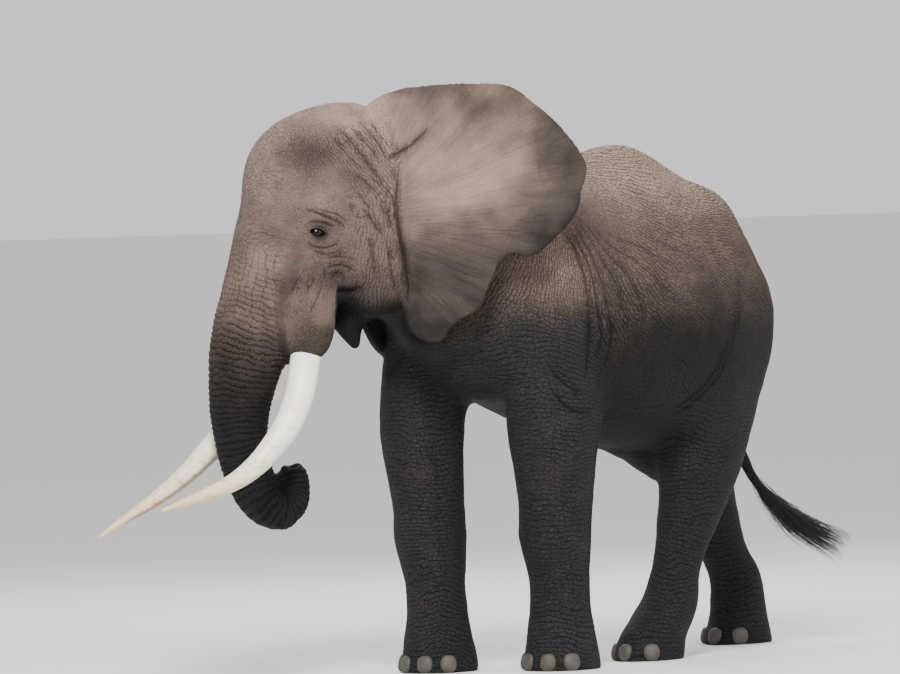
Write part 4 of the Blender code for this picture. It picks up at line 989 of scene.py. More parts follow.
class Places:
    """Measures of the skin's points, on the head in its own frame.

    head, trunk, ear, leg and band are shares from 0 to 1. run is the way down the trunk, and straight
    the points as if it hung straight. fan is the angle round an ear's root.
    """

    def __init__(self, points):
        to_head = np.array(HEAD.inverted())
        head = points @ to_head[:3, :3].T + to_head[:3, 3] + (0, 0, HEAD_PIVOT[2])
        self.left, self.back, self.high = head.T
        self.forward = -self.back
        self.height = points[:, 2]
        self.own_trunk(points)
        self.own_ears(points)
        body_forward = -points[:, 1]
        self.head = ramp(self.forward, -0.45, -0.15) * (1 - self.ear) * ramp(self.height, 1.7, 2.0)
        self.head *= np.abs(self.left) < 0.9
        self.head = np.maximum(self.head, self.trunk * (body_forward > 1.5))
        self.leg = ramp(self.height, 1.95, 1.45) * (1 - self.trunk) * (1 - self.ear)
        shoulder = ramp(self.height + 0.06 * drift(points, 0.15, 24), 2.45, 2.02)
        shoulder = shoulder * ramp(body_forward, 0.66, 0.78) * ramp(body_forward, 1.75, 1.5)
        self.band = np.maximum(self.leg, shoulder * (1 - self.head) * (1 - self.ear))

    def own_trunk(self, points):
        """The trunk's share, the run down its line, and its points as if the trunk hung straight."""
        tube = trunk_tube()
        near = ((points > tube.low - 0.1) & (points < tube.high + 0.1)).all(1)
        self.trunk = np.zeros(len(points))
        self.run = 2.9 - self.height
        self.straight = np.stack([self.left, self.back, self.high], axis=1)
        some = points[near]
        place = ((tube.line**2).sum(1) - 2 * some @ tube.line.T).argmin(1)
        off = some - tube.line[place]
        along = (off * tube.along[place]).sum(1)
        across = (off * tube.across[place]).sum(1)
        ahead = (off * tube.ahead[place]).sum(1)
        run = place * TRUNK_STEP + along
        share = np.sqrt((across**2 + ahead**2)) / tube.half[place, 2]
        inside = ramp(share, 1.35, 1.12) * ramp(run, 0.12, 0.45)
        self.trunk[near] = inside
        self.run = np.where(self.trunk > 0, 0, self.run)
        self.run[near] = np.where(inside > 0, run, self.run[near])
        leftwards = -np.sign(tube.across[place] @ np.array(HEAD.to_3x3())[:, 0])
        bent = np.stack([across * leftwards, -ahead, 2.95 - run], axis=1)
        self.straight[near] += (bent - self.straight[near]) * inside[:, None]

    def own_ears(self, points):
        """The ears' share, their own measures, and the angle round the root that their folds fan out by."""
        self.ear = np.zeros(len(points))
        self.ear_back, self.ear_high = np.zeros(len(points)), np.zeros(len(points))
        for side in (1, -1):
            axes, root = ear_frame(side)
            back, high, out = ((points - root) @ axes.T).T
            here = (np.abs(out - ear_bend(back, high)) < EAR_NEAR) & within_ear(back, high)
            self.ear = np.maximum(self.ear, here * ramp(back, -0.06, 0.12))
            self.ear_back = np.where(here, back, self.ear_back)
            self.ear_high = np.where(here, high, self.ear_high)
        self.fan = np.arctan2(self.ear_high - 2.75, self.ear_back + 0.25)

    def fanned(self, along, around):
        """Places that drift reads as rays out of the ear's root."""
        return np.stack([self.ear_back * along, self.fan * around, 0 * self.fan], axis=1)

    def ring_phase(self, points):
        """Counts the rings of the trunk from its root."""
        return self.run / RING_STEP + 1.1 * drift(points, 0.28, 11) + 0.45 * drift(points, 0.09, 12)

    def band_phase(self, points):
        """Counts the level wrinkles of the legs, which sag over the shoulder."""
        sag = 0.45 * (np.clip(-points[:, 1], 0.6, 1.5) - 1.25) ** 2
        sag = sag * ramp(self.height, 1.2, 1.8) * (points[:, 1] < -0.3)
        return (self.height + sag) / BAND_STEP + 1.6 * drift(points, 0.30, 21) + 0.6 * drift(points, 0.10, 22)

    def flow_phase(self, points):
        """Counts the wrinkles that fan over the flank, from behind the shoulder to the rump."""
        back, down = FLOW_TOP[0] + points[:, 1], FLOW_TOP[1] - self.height
        angle = np.arctan2(back, down)
        far = ramp(np.hypot(back, down), 1.0, 1.5)
        count = angle / FLOW_STEP + 1.5 * drift(points, 0.40, 31) + 0.5 * drift(points, 0.15, 32)
        # On the side of the head they run along the front of the ear instead.
        cheek = (self.forward - self.ear_edge()) / CHEEK_STEP
        cheek = cheek + 1.0 * drift(points, 0.25, 33) + 0.5 * drift(points, 0.09, 34)
        return np.where(self.head > 0.5, cheek, count), far * (self.head < 0.5)

    def ear_edge(self):
        """How far forward the wrinkle before the ear lies, at each height of the head."""
        return np.interp(self.high, *zip(*EAR_EDGE))


def wave(phase, sharp):
    """Rounded folds between narrow creases, one crease at each whole number."""
    return np.abs(np.sin(math.pi * phase)) ** sharp - 0.62


# ---------------------------------------------------------------- skin
COARSE, FINE = 0.045, 0.0105  # faces of the bare flesh, and of the whole skin
SKIN_FACES = 118000  # triangles, before the folds and the lids are split finer
EDGE_LOW = 0.0008  # the lowest skin over the floor
FAR_CORNER_DROP = 0.12  # of the right ear's front corner
TIP_PAST = 0.085  # the trunk's rounded end lies this far past its line
NOSTRIL, NOSTRIL_OFF, NOSTRIL_DEEP = 0.024, 0.036, 0.040  # its reach, place off the middle, and depth
FINGER, FINGER_OFF, FINGER_LONG = 0.034, 0.062, 0.012


def whole_flesh(masses):
    """Flesh, ears and tail as one closed surface."""
    base = make_skin(COARSE)
    modifier = base.modifiers.new("rounder", "SUBSURF")
    modifier.levels = modifier.render_levels = 1
    flesh = shown_mesh(base)
    bpy.data.objects.remove(base)
    bm = bmesh.new()
    bm.from_mesh(flesh)
    cut_level(bm, 0)
    ears = [make_ear_sheet(f"sheet_{name}", side, 10, 96) for name, side in SIDES.items()]
    tail = round_bar("tail_bar", rounded(tail_rows(0.05)), 16)
    for part in (*ears, tail):
        bm.from_mesh(part.data)
        bpy.data.objects.remove(part)
    whole = new_object("skin", bm)
    mesh = remeshed(whole, FINE)
    whole.modifiers.clear()
    whole.data = mesh
    return whole


def even_out(skin):
    """Smooths the steps of the remesh away, most where the ears and the tail join the flesh."""
    mesh = skin.data
    smooth(mesh, 6, np.full(len(mesh.vertices), 0.5))
    points = points_of(mesh)
    place = Places(points)
    root = np.exp(-((place.forward + 0.12) / 0.16) ** 2) * (np.abs(place.left) > 0.28) * (place.high > 2.0)
    tail_top = np.exp(-((points - spot(-1.15, 0, 2.5)) ** 2).sum(1) / 0.06)
    smooth(mesh, 12, np.clip(root + tail_top, 0, 1) * 0.5)
    crown = np.exp(-((place.forward + 0.06) / 0.13) ** 2)
    crown = crown * (np.abs(place.left) > 0.20) * ramp(place.high, 3.0, 3.2)
    smooth(mesh, 40, crown * 0.5)


def swell(skin):
    """Rings of the trunk and legs, folds of the ears and the slow unevenness of the hide."""
    mesh = skin.data
    points, normals = points_of(mesh), normals_of(mesh)
    place = Places(points)
    trunk = place.trunk * ramp(place.run, 0.20, 0.60)
    rings = wave(place.ring_phase(points), 0.6)
    size = 0.0026 + 0.0078 * ramp(place.run, 0.55, 1.05) * (1 - 0.70 * ramp(place.run, 2.1, 2.5))
    height = trunk * rings * size
    bands = wave(place.band_phase(points), 0.6)
    height += place.leg * bands * 0.0030 * ramp(drift(points, 0.25, 23), -0.5, 0.5)
    height += (1 - place.ear) * (0.004 * drift(points, 0.16, 41) + 0.0025 * drift(points, 0.07, 42))
    rays = place.fanned(1.2, 7.5) + 0.4 * drift(points, 0.3, 52)[:, None]
    height += place.ear * 0.024 * drift(rays, 1.0, 51) * ramp(place.ear_back, 0.05, 0.45)
    points = points + normals * height[:, None]
    # The far ear's front corner lies lower, behind the crown.
    corner = ramp(place.high, 3.30, 3.44) * ramp(place.forward, -0.50, -0.20) * ramp(-place.left, 0.22, 0.34)
    points[:, 2] = np.maximum(points[:, 2] - FAR_CORNER_DROP * corner, EDGE_LOW)
    moved, nostril = form_tip(points)
    put_points(mesh, moved)
    # Painted shade in the creases between the trunk's rings and inside the nostrils.
    crease = trunk * ramp(-rings, 0.20, 0.52) * ramp(place.run, 0.35, 0.8) * 0.9
    store(mesh, "crease", np.maximum(crease, nostril))


def form_tip(points):
    """The points with two nostrils and two opposed fingers at the trunk's end, and the nostrils' share."""
    tube = trunk_tube()
    along, ahead, across = tube.along[-1], tube.ahead[-1], tube.across[-1]
    end = tube.line[-1] + along * TIP_PAST
    nostril, finger = np.zeros(len(points)), np.zeros(len(points))
    for side in (1, -1):
        gap = np.linalg.norm(points - end - across * NOSTRIL_OFF * side, axis=1)
        nostril = np.maximum(nostril, np.exp(-(gap / NOSTRIL) ** 2))
        gap = np.linalg.norm(points - end - ahead * FINGER_OFF * side + along * FINGER_LONG, axis=1)
        finger = np.maximum(finger, np.exp(-(gap / FINGER) ** 2))
    return points + along * (FINGER_LONG * finger - NOSTRIL_DEEP * nostril)[:, None], nostril


def fold_skin(skin, masses):
    """Splits the faces along the folds and presses the folds in."""
    lines = list(fold_lines(skin, masses))
    for _ in range(3):
        bm = bmesh.new()
        bm.from_mesh(skin.data)
        points = np.array([vert.co for vert in bm.verts])
        finest = np.full(len(points), 1.0)
        for _, width, line in lines:
            reach = 2.2 * width
            near = close_to(points, line, reach)
            if len(near):
                gap = np.linalg.norm(points[near][:, None] - line[None], axis=2).min(1)
                near = near[gap < reach]
                finest[near] = np.minimum(finest[near], width * 0.85)
        split_long(bm, lambda edge: edge.calc_length() > max(finest[vert.index] for vert in edge.verts))
        bm.to_mesh(skin.data)
        bm.free()
    mesh = skin.data
    points, normals = points_of(mesh), normals_of(mesh)
    height, crease, fold = cut_folds(points, normals, lines)
    put_points(mesh, points + normals * height[:, None])
    # Painted shade in the folds' creases, added to that of the trunk's rings and nostrils.
    store(mesh, "crease", np.maximum(read(mesh, "crease"), crease))
    store(mesh, "fold", fold, "FLOAT_VECTOR")


def thin_out(skin, triangles):
    """Thins the skin's faces down to about so many triangles."""
    modifier = skin.modifiers.new("fewer", "DECIMATE")
    modifier.ratio = triangles / (2 * len(skin.data.polygons))  # each face has four corners so far
    mesh = shown_mesh(skin)
    skin.modifiers.clear()
    skin.data = mesh


# ---------------------------------------------------------------- eyes
LASHES = 70
BALL = 0.050  # radius of the eyeball
BALL_RISE = 0.0155  # the front of the ball over the plain skin
EYE_AREA = 0.12  # round the ball's middle, where the lids are formed
ALMOND = (0.052, 0.029, 0.023)  # half length, and heights over and under the corners' line
LID = 0.0050  # thickness of the lids over the ball
EYE_TILT = math.radians(-14)  # the rear corner is lower


def eye_axes(side):
    """Rows: forward along the lids, up, and out of the head."""
    turn = np.array(HEAD.to_3x3())
    forward = turn @ (0, -1, 0) * math.cos(EYE_TILT) - turn @ (0, 0, 1) * math.sin(EYE_TILT)
    out = turn @ (side, -0.12, 0)
    out /= np.linalg.norm(out)
    forward = forward - out * (forward @ out)
    forward /= np.linalg.norm(forward)
    up = np.cross(out, forward) * side
    return np.array([forward, up, out])


def eye_on_flesh(side, masses):
    """Where the flesh lies over the middle of the eye, and the way out of the head there."""
    forward, height = EYE_PLACE
    inside, outer = (head_spot(forward, off * side, height) for off in (0.15, 0.60))
    steps = np.linspace(0, 1, 400)[:, None]
    line = inside * (1 - steps) + outer * steps
    out = (outer - inside) / np.linalg.norm(outer - inside)
    return line[(flesh_distance(masses, line) > 0).argmax()], out


def solid_eye_centre(masses):
    """The middle of the left eye's solid, in the frame of the masses."""
    skin, out = eye_on_flesh(1, masses)
    return skin - out * EYE_RADIUS * EYE_SINK


def eye_middle(side, masses):
    """The middle of the eyeball, under the skin."""
    return eye_on_flesh(side, masses)[0] - eye_axes(side)[2] * (BALL - BALL_RISE)


def split_near(skin, middle):
    """Splits the faces round the eye finer in three steps, and evens them out."""
    bm = bmesh.new()
    bm.from_mesh(skin.data)
    for reach, longest in ((0.12, 0.012), (0.10, 0.007), (0.080, 0.0040)):
        split_long(bm, lambda edge: (
            (edge.verts[0].co - middle).length < reach and edge.calc_length() > longest))
    near = [vert for vert in bm.verts if (vert.co - middle).length < EYE_AREA]
    for _ in range(3):
        bmesh.ops.smooth_vert(bm, verts=near, factor=0.4, use_axis_x=True, use_axis_y=True, use_axis_z=True)
    bm.to_mesh(skin.data)
    bm.free()


def almond_edge(ahead):
    """Heights of the upper and lower lid edge at a place along the eye."""
    part = np.clip(1 - (ahead / ALMOND[0]) ** 2, 0, 1)
    return ALMOND[1] * part**0.75, -ALMOND[2] * part**0.9


def form_lids(skin, side, middle):
    """Lays the skin over the ball as two lids and sinks what lies in the opening."""
    mesh = skin.data
    points = points_of(mesh)
    axes = eye_axes(side)
    near = np.flatnonzero(np.linalg.norm(points - middle, axis=1) < EYE_AREA)
    ahead, up, out = ((points[near] - middle) @ axes.T).T
    across = np.hypot(ahead, up)
    ball = np.sqrt(np.maximum((BALL + LID) ** 2 - across**2, 0))
    share = ramp(across, 0.076, 0.045)
    lid = np.maximum(out, ball) * share + out * (1 - share)
    lid = np.where(across < BALL + LID, lid, out)
    top, bottom = almond_edge(ahead)
    over = np.where(up > 0, up - top, bottom - up)
    inside = (np.abs(ahead) < ALMOND[0]) & (over < 0)
    # The thick rim of the lids, the crease over the upper one and the fold under the lower one.
    rim = np.exp(-(over / 0.006) ** 2) * (np.abs(ahead) < ALMOND[0] * 1.15) * ~inside
    crease = np.exp(-((over - 0.013) / 0.0035) ** 2) * (up > 0) * (np.abs(ahead) < ALMOND[0] * 1.1)
    fold = np.exp(-((over - 0.012) / 0.0035) ** 2) * (up <= 0) * (np.abs(ahead) < ALMOND[0] * 1.05)
    lid += 0.0018 * rim - 0.0040 * crease - 0.0035 * fold
    sunk = np.where(inside, np.minimum(lid, BALL * 0.55 - 0.6 * np.minimum(-over, 0.004)), lid)
    points[near] = middle + np.stack([ahead, up, sunk], axis=1) @ axes
    put_points(mesh, points)
    # Painted shade in the creases of the lids and round the opening.
    dark = read(mesh, "crease")
    soft = 0.75 * np.exp(-np.maximum(over, 0) / 0.006) * ramp(np.abs(ahead), ALMOND[0] * 1.35, ALMOND[0])
    dark[near] = np.maximum(dark[near], np.maximum(0.8 * np.maximum(crease, fold), soft))
    store(mesh, "crease", dark)


def eyeball(side, middle):
    """The ball, with the angle of each point off its gaze."""
    axes = eye_axes(side)
    matrix = Matrix.Translation(Vector(middle)) @ Matrix([*axes.T.tolist()]).to_4x4()
    bm = bmesh.new()
    bmesh.ops.create_uvsphere(bm, u_segments=40, v_segments=28, radius=BALL, matrix=matrix)
    face_outwards(bm)
    ball = new_object(f"eyeball_{side}", bm)
    gaze = axes[2] + 0.10 * axes[0] - 0.10 * axes[1]
    gaze /= np.linalg.norm(gaze)
    off = (points_of(ball.data) - middle) @ gaze / BALL
    store(ball.data, "gaze", np.arccos(np.clip(off, -1, 1)))
    return ball


def lashes(side, middle):
    """Long coarse hairs on the edge of the upper lid."""
    axes = eye_axes(side)
    random = np.random.default_rng(71 + side)
    bm = bmesh.new()
    for _ in range(LASHES):
        ahead = random.uniform(-0.95, 0.95) * ALMOND[0]
        up = almond_edge(np.array(ahead))[0] + 0.001
        base = math.sqrt(max((BALL + LID) ** 2 - ahead**2 - up**2, 0)) + 0.0005
        length = random.uniform(0.016, 0.030)
        lean = ahead * 0.35 + random.uniform(-0.004, 0.004)
        path = [(ahead + lean * t, up - 0.25 * length * t * t - 0.1 * length * t, base + 0.9 * length * t)
                for t in (0, 0.35, 0.7, 1)]
        hair(bm, [middle + np.array(point) @ axes for point in path], 0.0007)
    return new_object(f"lashes_{side}", bm)


def hair(bm, path, half, sides=3):
    """A tapering strand along the path."""
    rings = []
    for i, point in enumerate(path):
        ahead = path[min(i + 1, len(path) - 1)] - path[max(i - 1, 0)]
        ahead = ahead / (np.linalg.norm(ahead) + 1e-9)
        side = np.cross(ahead, (0.3, 0.2, 1.0))
        side /= np.linalg.norm(side) + 1e-9
        up = np.cross(side, ahead)
        if i == len(path) - 1:
            rings.append([bm.verts.new(point)])
            break
        size = half * (1 - 0.6 * i / (len(path) - 1))
        rings.append([bm.verts.new(point + size * (side * math.cos(a) + up * math.sin(a)))
                      for a in np.arange(sides) * 2 * math.pi / sides])
    for ring, after in zip(rings, rings[1:]):
        for i in range(sides):
            j = (i + 1) % sides
            if len(after) == 1:
                bm.faces.new((ring[i], ring[j], after[0]))
            else:
                bm.faces.new((ring[i], ring[j], after[j], after[i]))
    return rings


# ---------------------------------------------------------------- toenails and tusks
NAIL_RIM = 0.972  # share of the way out to the sole's rim where the nails sit
NAIL_HEIGHT, NAIL_LEAN = 0.056, math.radians(-12)
NAIL_SQUARE = 0.8  # under 1 makes them squarer than a ball


def foot_nails(name, middle, length, width, angles):
    """The nails of one foot, round the front of its oval sole."""
    half_wide, thick, half_tall = NAIL_SIZE
    bm = bmesh.new()
    for degrees in angles:
        angle = math.radians(degrees)
        out = NAIL_RIM / math.hypot(math.cos(angle) / length, math.sin(angle) / width)
        centre = spot(middle[0] + out * math.cos(angle), middle[1] + out * math.sin(angle), NAIL_HEIGHT)
        turn = Matrix.Rotation(angle, 4, "Z") @ Matrix.Rotation(NAIL_LEAN, 4, "X")
        size = Matrix.Diagonal((half_wide, thick, half_tall, 1))
        made = bmesh.ops.create_uvsphere(bm, u_segments=20, v_segments=14, radius=1)["verts"]
        for vert in made:
            vert.co = Vector([math.copysign(abs(c) ** NAIL_SQUARE, c) for c in vert.co])
        bmesh.ops.transform(bm, verts=made, matrix=Matrix.Translation(Vector(centre)) @ turn @ size)
    cut_level(bm, NAIL_FOOT)
    face_outwards(bm)
    return new_object(f"nails_{name}", bm)


# The brown underside is partly staining and partly painted shade, deeper on the far, right tusk.
STAINED_AND_SHADED = {1: 0.40, -1: 0.95}  # how brown the underside of each tusk is


def fine_tusk(name, side):
    """A tusk, slightly uneven, with the share of its length at each point, and how brown its underside is
    there from staining and painted shade.
    """
    rows = tusk_rows(side, 0.03)
    bar = round_bar(f"{name}_fine", rounded(rows), 36)
    points = points_of(bar.data)
    place = ((rows[:, :3] ** 2).sum(1) - 2 * points @ rows[:, :3].T).argmin(1)
    off = points - rows[place, :3]
    wobble = 1 + 0.012 * drift(points, 0.12, 61) + 0.006 * drift(points, 0.03, 62)
    put_points(bar.data, rows[place, :3] + off * wobble[:, None])
    along = place / (len(rows) - 1)
    store(bar.data, "along", along)
    # Browner on the underside: staining, and painted shade.
    under = ramp(-normals_of(bar.data)[:, 2], -0.15, 0.6) * ramp(along, 0.25, 0.5) * ramp(along, 0.99, 0.85)
    store(bar.data, "stain_and_shade", under * STAINED_AND_SHADED[side])
    return bar


# ---------------------------------------------------------------- hair of the tail
TUFT_HAIRS = 1100
TAIL_TIP_SHARE = 0.80  # the hairs start this far down the tail
BRUSH_STEP = 0.02  # along the tail's line
HAIR_STEPS = 6
HAIR_LENGTHS = (0.20, 0.42)
USUAL_LENGTH = 0.3  # of the hairs that the spread and the droop are told for
DROOP = 0.05
PATCH = 0.003  # across, each hair's own patch of the unwrapped tail


def brush_line(rows):
    """Points down the tail and on through the middle of its brush."""
    tuft = smooth_rows(np.array([[*spot(*place), half] for *place, half in TUFT_LINE]), 0.03)
    return np.vstack([rows[:, :3], tuft[2:, :3]])


def hair_path(line, start, out, ahead, half, length, spread):
    """Points of one hair, from beside the line at its start and then along it."""
    for t in np.linspace(0, 1, HAIR_STEPS):
        far = start + t * length / BRUSH_STEP
        place = min(far, len(line) - 1)
        low = int(place)
        on = line[low] + (line[min(low + 1, len(line) - 1)] - line[low]) * (place - low)
        past = max(0.0, far - (len(line) - 1)) * BRUSH_STEP
        lean = half * (1 - t * 0.6) + spread * math.sin(t * 1.7)
        yield on + ahead * past * 0.6 + out * lean + (0, 0, -DROOP * t * t * length / USUAL_LENGTH)


def tail_hairs():
    """Long wiry hairs round the end of the tail, blown back in one brush."""
    rows = tail_rows(BRUSH_STEP)
    line = brush_line(rows)
    random = np.random.default_rng(81)
    bm = bmesh.new()
    roots = []
    for _ in range(TUFT_HAIRS):
        start = int(random.triangular(int(TAIL_TIP_SHARE * len(rows)), len(rows) - 1, len(rows)))
        ahead = line[min(start + 1, len(line) - 1)] - line[start - 1]
        ahead /= np.linalg.norm(ahead)
        angle = random.uniform(0, 2 * math.pi)
        side = np.cross(ahead, (0, 0, 1.0))
        side /= np.linalg.norm(side)
        out = side * math.cos(angle) + np.cross(side, ahead) * math.sin(angle)
        length = random.uniform(*HAIR_LENGTHS)
        spread = random.uniform(0.01, 0.075) * length / USUAL_LENGTH
        half = rows[min(start, len(rows) - 1), 3] * 0.8
        path = list(hair_path(line, start, out, ahead, half, length, spread))
        rings = hair(bm, path, random.uniform(0.0011, 0.0019))
        roots.append((rings, start / len(rows), angle / (2 * math.pi)))
    map_hairs(bm, roots)
    return new_object("tail_hairs", bm)


def map_hairs(bm, roots):
    """Gives each hair a small patch at its root's place on the tail unwrapped: round it, and down it."""
    layer = bm.loops.layers.uv.new("OFBake")
    corner = {}
    for rings, down, around in roots:
        for i, ring in enumerate(rings):
            for j, vert in enumerate(ring):
                corner[vert] = (around * 0.99 + PATCH * j / 3, down * 0.99 + PATCH * i / (HAIR_STEPS - 1))
    for face in bm.faces:
        for loop in face.loops:
            loop[layer].uv = corner[loop.vert]


# ---------------------------------------------------------------- shading
class Value:
    """A socket whose sums and products become maths nodes."""

    def __init__(self, shader, socket):
        self.shader, self.socket = shader, socket

    def maths(self, operation, *inputs):
        return self.shader.add("ShaderNodeMath", {"operation": operation}, dict(enumerate(inputs)))

    def __add__(self, other):
        return self.maths("ADD", self, other)

    def __sub__(self, other):
        return self.maths("SUBTRACT", self, other)

    def __rsub__(self, other):
        return self.maths("SUBTRACT", other, self)

    def __mul__(self, other):
        return self.maths("MULTIPLY", self, other)

    def __abs__(self):
        return self.maths("ABSOLUTE", self)

    def ramp(self, low, high, start=0.0, end=1.0):
        """Start up to low, end from high, with soft ends."""
        inputs = {"Value": self, "From Min": low, "From Max": high, "To Min": start, "To Max": end}
        return self.shader.add("ShaderNodeMapRange", {"interpolation_type": "SMOOTHSTEP"}, inputs)

    __radd__, __rmul__ = __add__, __mul__


class Shader:
    """A material under construction. Each add() makes a node: its kind, its settings, then its inputs."""

    def __init__(self, name):
        self.material = bpy.data.materials.new(name)
        self.material.use_nodes = True
        self.tree = self.material.node_tree
        self.tree.nodes.clear()

    def add(self, kind, settings, inputs, output=0):
        node = self.tree.nodes.new(kind)
        for key, value in settings.items():
            setattr(node, key, value)
        for key, value in inputs.items():
            if isinstance(value, Value):
                self.tree.links.new(value.socket, node.inputs[key])
            else:
                node.inputs[key].default_value = value
        return Value(self, node.outputs[output])

    def place(self):
        return self.add("ShaderNodeTexCoord", {}, {}, "Object")

    def stored(self, name, output="Fac"):
        return self.add("ShaderNodeAttribute", {"attribute_name": name}, {}, output)

    def parts(self, vector):
        return [self.add("ShaderNodeSeparateXYZ", {}, {0: vector}, axis) for axis in range(3)]

    def scaled(self, vector, factors):
        return self.add("ShaderNodeVectorMath", {"operation": "MULTIPLY"}, {0: vector, 1: factors})

    def shifted(self, vector, other):
        return self.add("ShaderNodeVectorMath", {"operation": "ADD"}, {0: vector, 1: other})

    def noise(self, vector, scale, detail=2.0, roughness=0.5):
        inputs = {"Vector": vector, "Scale": scale, "Detail": detail, "Roughness": roughness}
        return self.add("ShaderNodeTexNoise", {}, inputs)

    def noise_vector(self, vector, scale, size):
        """A random offset, up to about half a size each way."""
        made = self.add("ShaderNodeTexNoise", {}, {"Vector": vector, "Scale": scale, "Detail": 1.0}, "Color")
        made = self.add("ShaderNodeVectorMath", {"operation": "SUBTRACT"}, {0: made, 1: (0.5, 0.5, 0.5)})
        return self.scaled(made, (size, size, size))

    def cells(self, vector, scale):
        """Distance to the nearest crease between cells, about 0.3 in the middle of one."""
        inputs = {"Vector": vector, "Scale": scale}
        return self.add("ShaderNodeTexVoronoi", {"feature": "DISTANCE_TO_EDGE"}, inputs)

    def mix(self, share, first, second):
        first, second = ((*c, 1) if isinstance(c, tuple) and len(c) == 3 else c for c in (first, second))
        return self.add("ShaderNodeMix", {"data_type": "RGBA"}, {0: share, 6: first, 7: second}, 2)

    def finish(self, inputs, height=None):
        if height is not None:
            bump = self.add("ShaderNodeBump", {}, {"Height": height, "Distance": 1.0, "Strength": 1.0})
            inputs = {**inputs, "Normal": bump}
        shader = self.add("ShaderNodeBsdfPrincipled", {}, inputs)
        out = self.tree.nodes.new("ShaderNodeOutputMaterial")
        self.tree.links.new(shader.socket, out.inputs["Surface"])
        return self.material


PALE, DUSTY, BROWN = (0.305, 0.224, 0.176), (0.142, 0.102, 0.082), (0.058, 0.044, 0.037)
# DAMP_AND_SHADE is the darkest skin: damp, with painted shade under the body, the legs and the trunk.
DAMP_AND_SHADE, SLATE = (0.0110, 0.0102, 0.0102), (0.0235, 0.0228, 0.0268)
TAN, ROSY, DUST = (0.205, 0.146, 0.110), (0.50, 0.36, 0.31), (0.36, 0.28, 0.23)
# Colours of the painted shade in the creases, on dry skin and on damp skin.
CREASE_SHADE_DRY, CREASE_SHADE_DAMP = (0.048, 0.034, 0.027), (0.0035, 0.0032, 0.0032)
IVORY, CREAM, AMBER = (0.93, 0.90, 0.83), (0.88, 0.82, 0.70), (0.66, 0.47, 0.23)
STREAK, STAIN_AND_SHADE, ROOT_STAIN = (0.42, 0.30, 0.18), (0.25, 0.165, 0.105), (0.30, 0.21, 0.14)
NAIL_PALE, NAIL_DARK, NAIL_BAND = (0.070, 0.059, 0.050), (0.042, 0.036, 0.031), (0.046, 0.039, 0.034)
IRIS, IRIS_DARK, PUPIL = (0.018, 0.009, 0.005), (0.007, 0.004, 0.003), (0.002, 0.002, 0.002)
EYE_RIM, EYE_WHITE = (0.008, 0.006, 0.005), (0.030, 0.022, 0.018)
LASH_BLACK, HAIR_BLACK = (0.012, 0.010, 0.009), (0.010, 0.009, 0.008)
# Tones run from 0, pale dust with painted light from above, to 1, dark damp skin with painted shade
# underneath. Each pair is (measure, tone).
BODY_TONES = (
    (1.70, 1.0), (1.95, 0.97), (2.10, 0.87), (2.25, 0.68),
    (2.44, 0.50), (2.63, 0.40), (2.82, 0.25), (3.07, 0.0),
)
TRUNK_TONES = ((0.3, 0.27), (0.6, 0.34), (0.85, 0.50), (1.13, 0.82), (1.45, 0.98))
# On the head the lower jaw and the mouth take the darkest tone: painted shadow under the cheek.
HEAD_TONES = ((2.05, 1.0), (2.31, 1.0), (2.40, 0.56), (2.55, 0.40), (2.80, 0.30), (3.10, 0.26), (3.40, 0.12))
# Soft patches on the side of the head: forward, height, reach along and up, and how much darker.
TEMPLE, TEMPLE_SHADE = (0.36, 3.22, 0.23, 0.145), 0.38
HEAD_SPOTS = (
    (0.22, 2.56, 0.14, 0.10, 0.04),  # cheek
    (0.13, 3.02, 0.13, 0.11, 0.13),  # before the ear
    # Round the eye: darker skin, with painted shade of the socket.
    (0.362, 2.705, 0.075, 0.055, 0.30),  # round the eye
    (0.30, 2.95, 0.12, 0.08, -0.08),  # over the brow
)
CROWN_SPOTS = ((0.54, 3.34, 0.15, 0.10, 1.0), (0.66, 3.14, 0.09, 0.20, 0.75))  # where the rosy speckles lie


def tone_of(value, pairs):
    return np.interp(value, *zip(*pairs))


def patch_share(place, forward, high, length, tall):
    """A soft patch on the head."""
    return np.exp(-(((place.forward - forward) / length) ** 2 + ((place.high - high) / tall) ** 2))


def patches(place, spots):
    return sum(amount * patch_share(place, *where) for *where, amount in spots)


def temple_share(place):
    return patch_share(place, *TEMPLE) ** 0.8


def head_tone(place, slow):
    # Darkest low on the head, the dark edge lying lower towards the rear of the cheek: painted shadow of the
    # jaw and the mouth.
    tone = tone_of(place.high + 0.4 * slow + 0.09 * ramp(place.forward, 0.18, 0.0), HEAD_TONES)
    sheath = (place.forward > 0.27) * ramp(place.high, 2.45, 2.30)
    tone = tone * (1 - sheath) + (0.36 + 0.25 * ramp(place.high, 2.2, 2.05) + slow) * sheath
    return tone + TEMPLE_SHADE * temple_share(place) + patches(place, HEAD_SPOTS) + 0.8 * slow


def ear_tone(place, points, slow):
    """Pale in the middle, darker at the top, the rear edge and the lobe, with soft rays of painted shade
    between the ear's folds.
    """
    tone = 0.28 + 0.34 * ramp(place.ear_high, 3.20, 3.50)
    tone += 0.48 * ramp(place.ear_back + slow, 0.66, 1.12) * ramp(place.ear_high, 3.45, 3.12)
    tone += 0.60 * ramp(place.ear_high + 0.8 * slow, 2.95, 2.35) + 1.2 * slow
    # Soft rays of painted shade between the radial folds.
    rays = place.fanned(1.3, 9)
    tone += (0.10 * drift(rays, 1.0, 95) + 0.05 * drift(rays, 0.4, 97)) * ramp(place.ear_back, 0.1, 0.4)
    return tone + 0.12 * drift(points, 0.10, 96) - 0.08 * np.exp(-((place.ear_back - 0.35) / 0.25) ** 2)


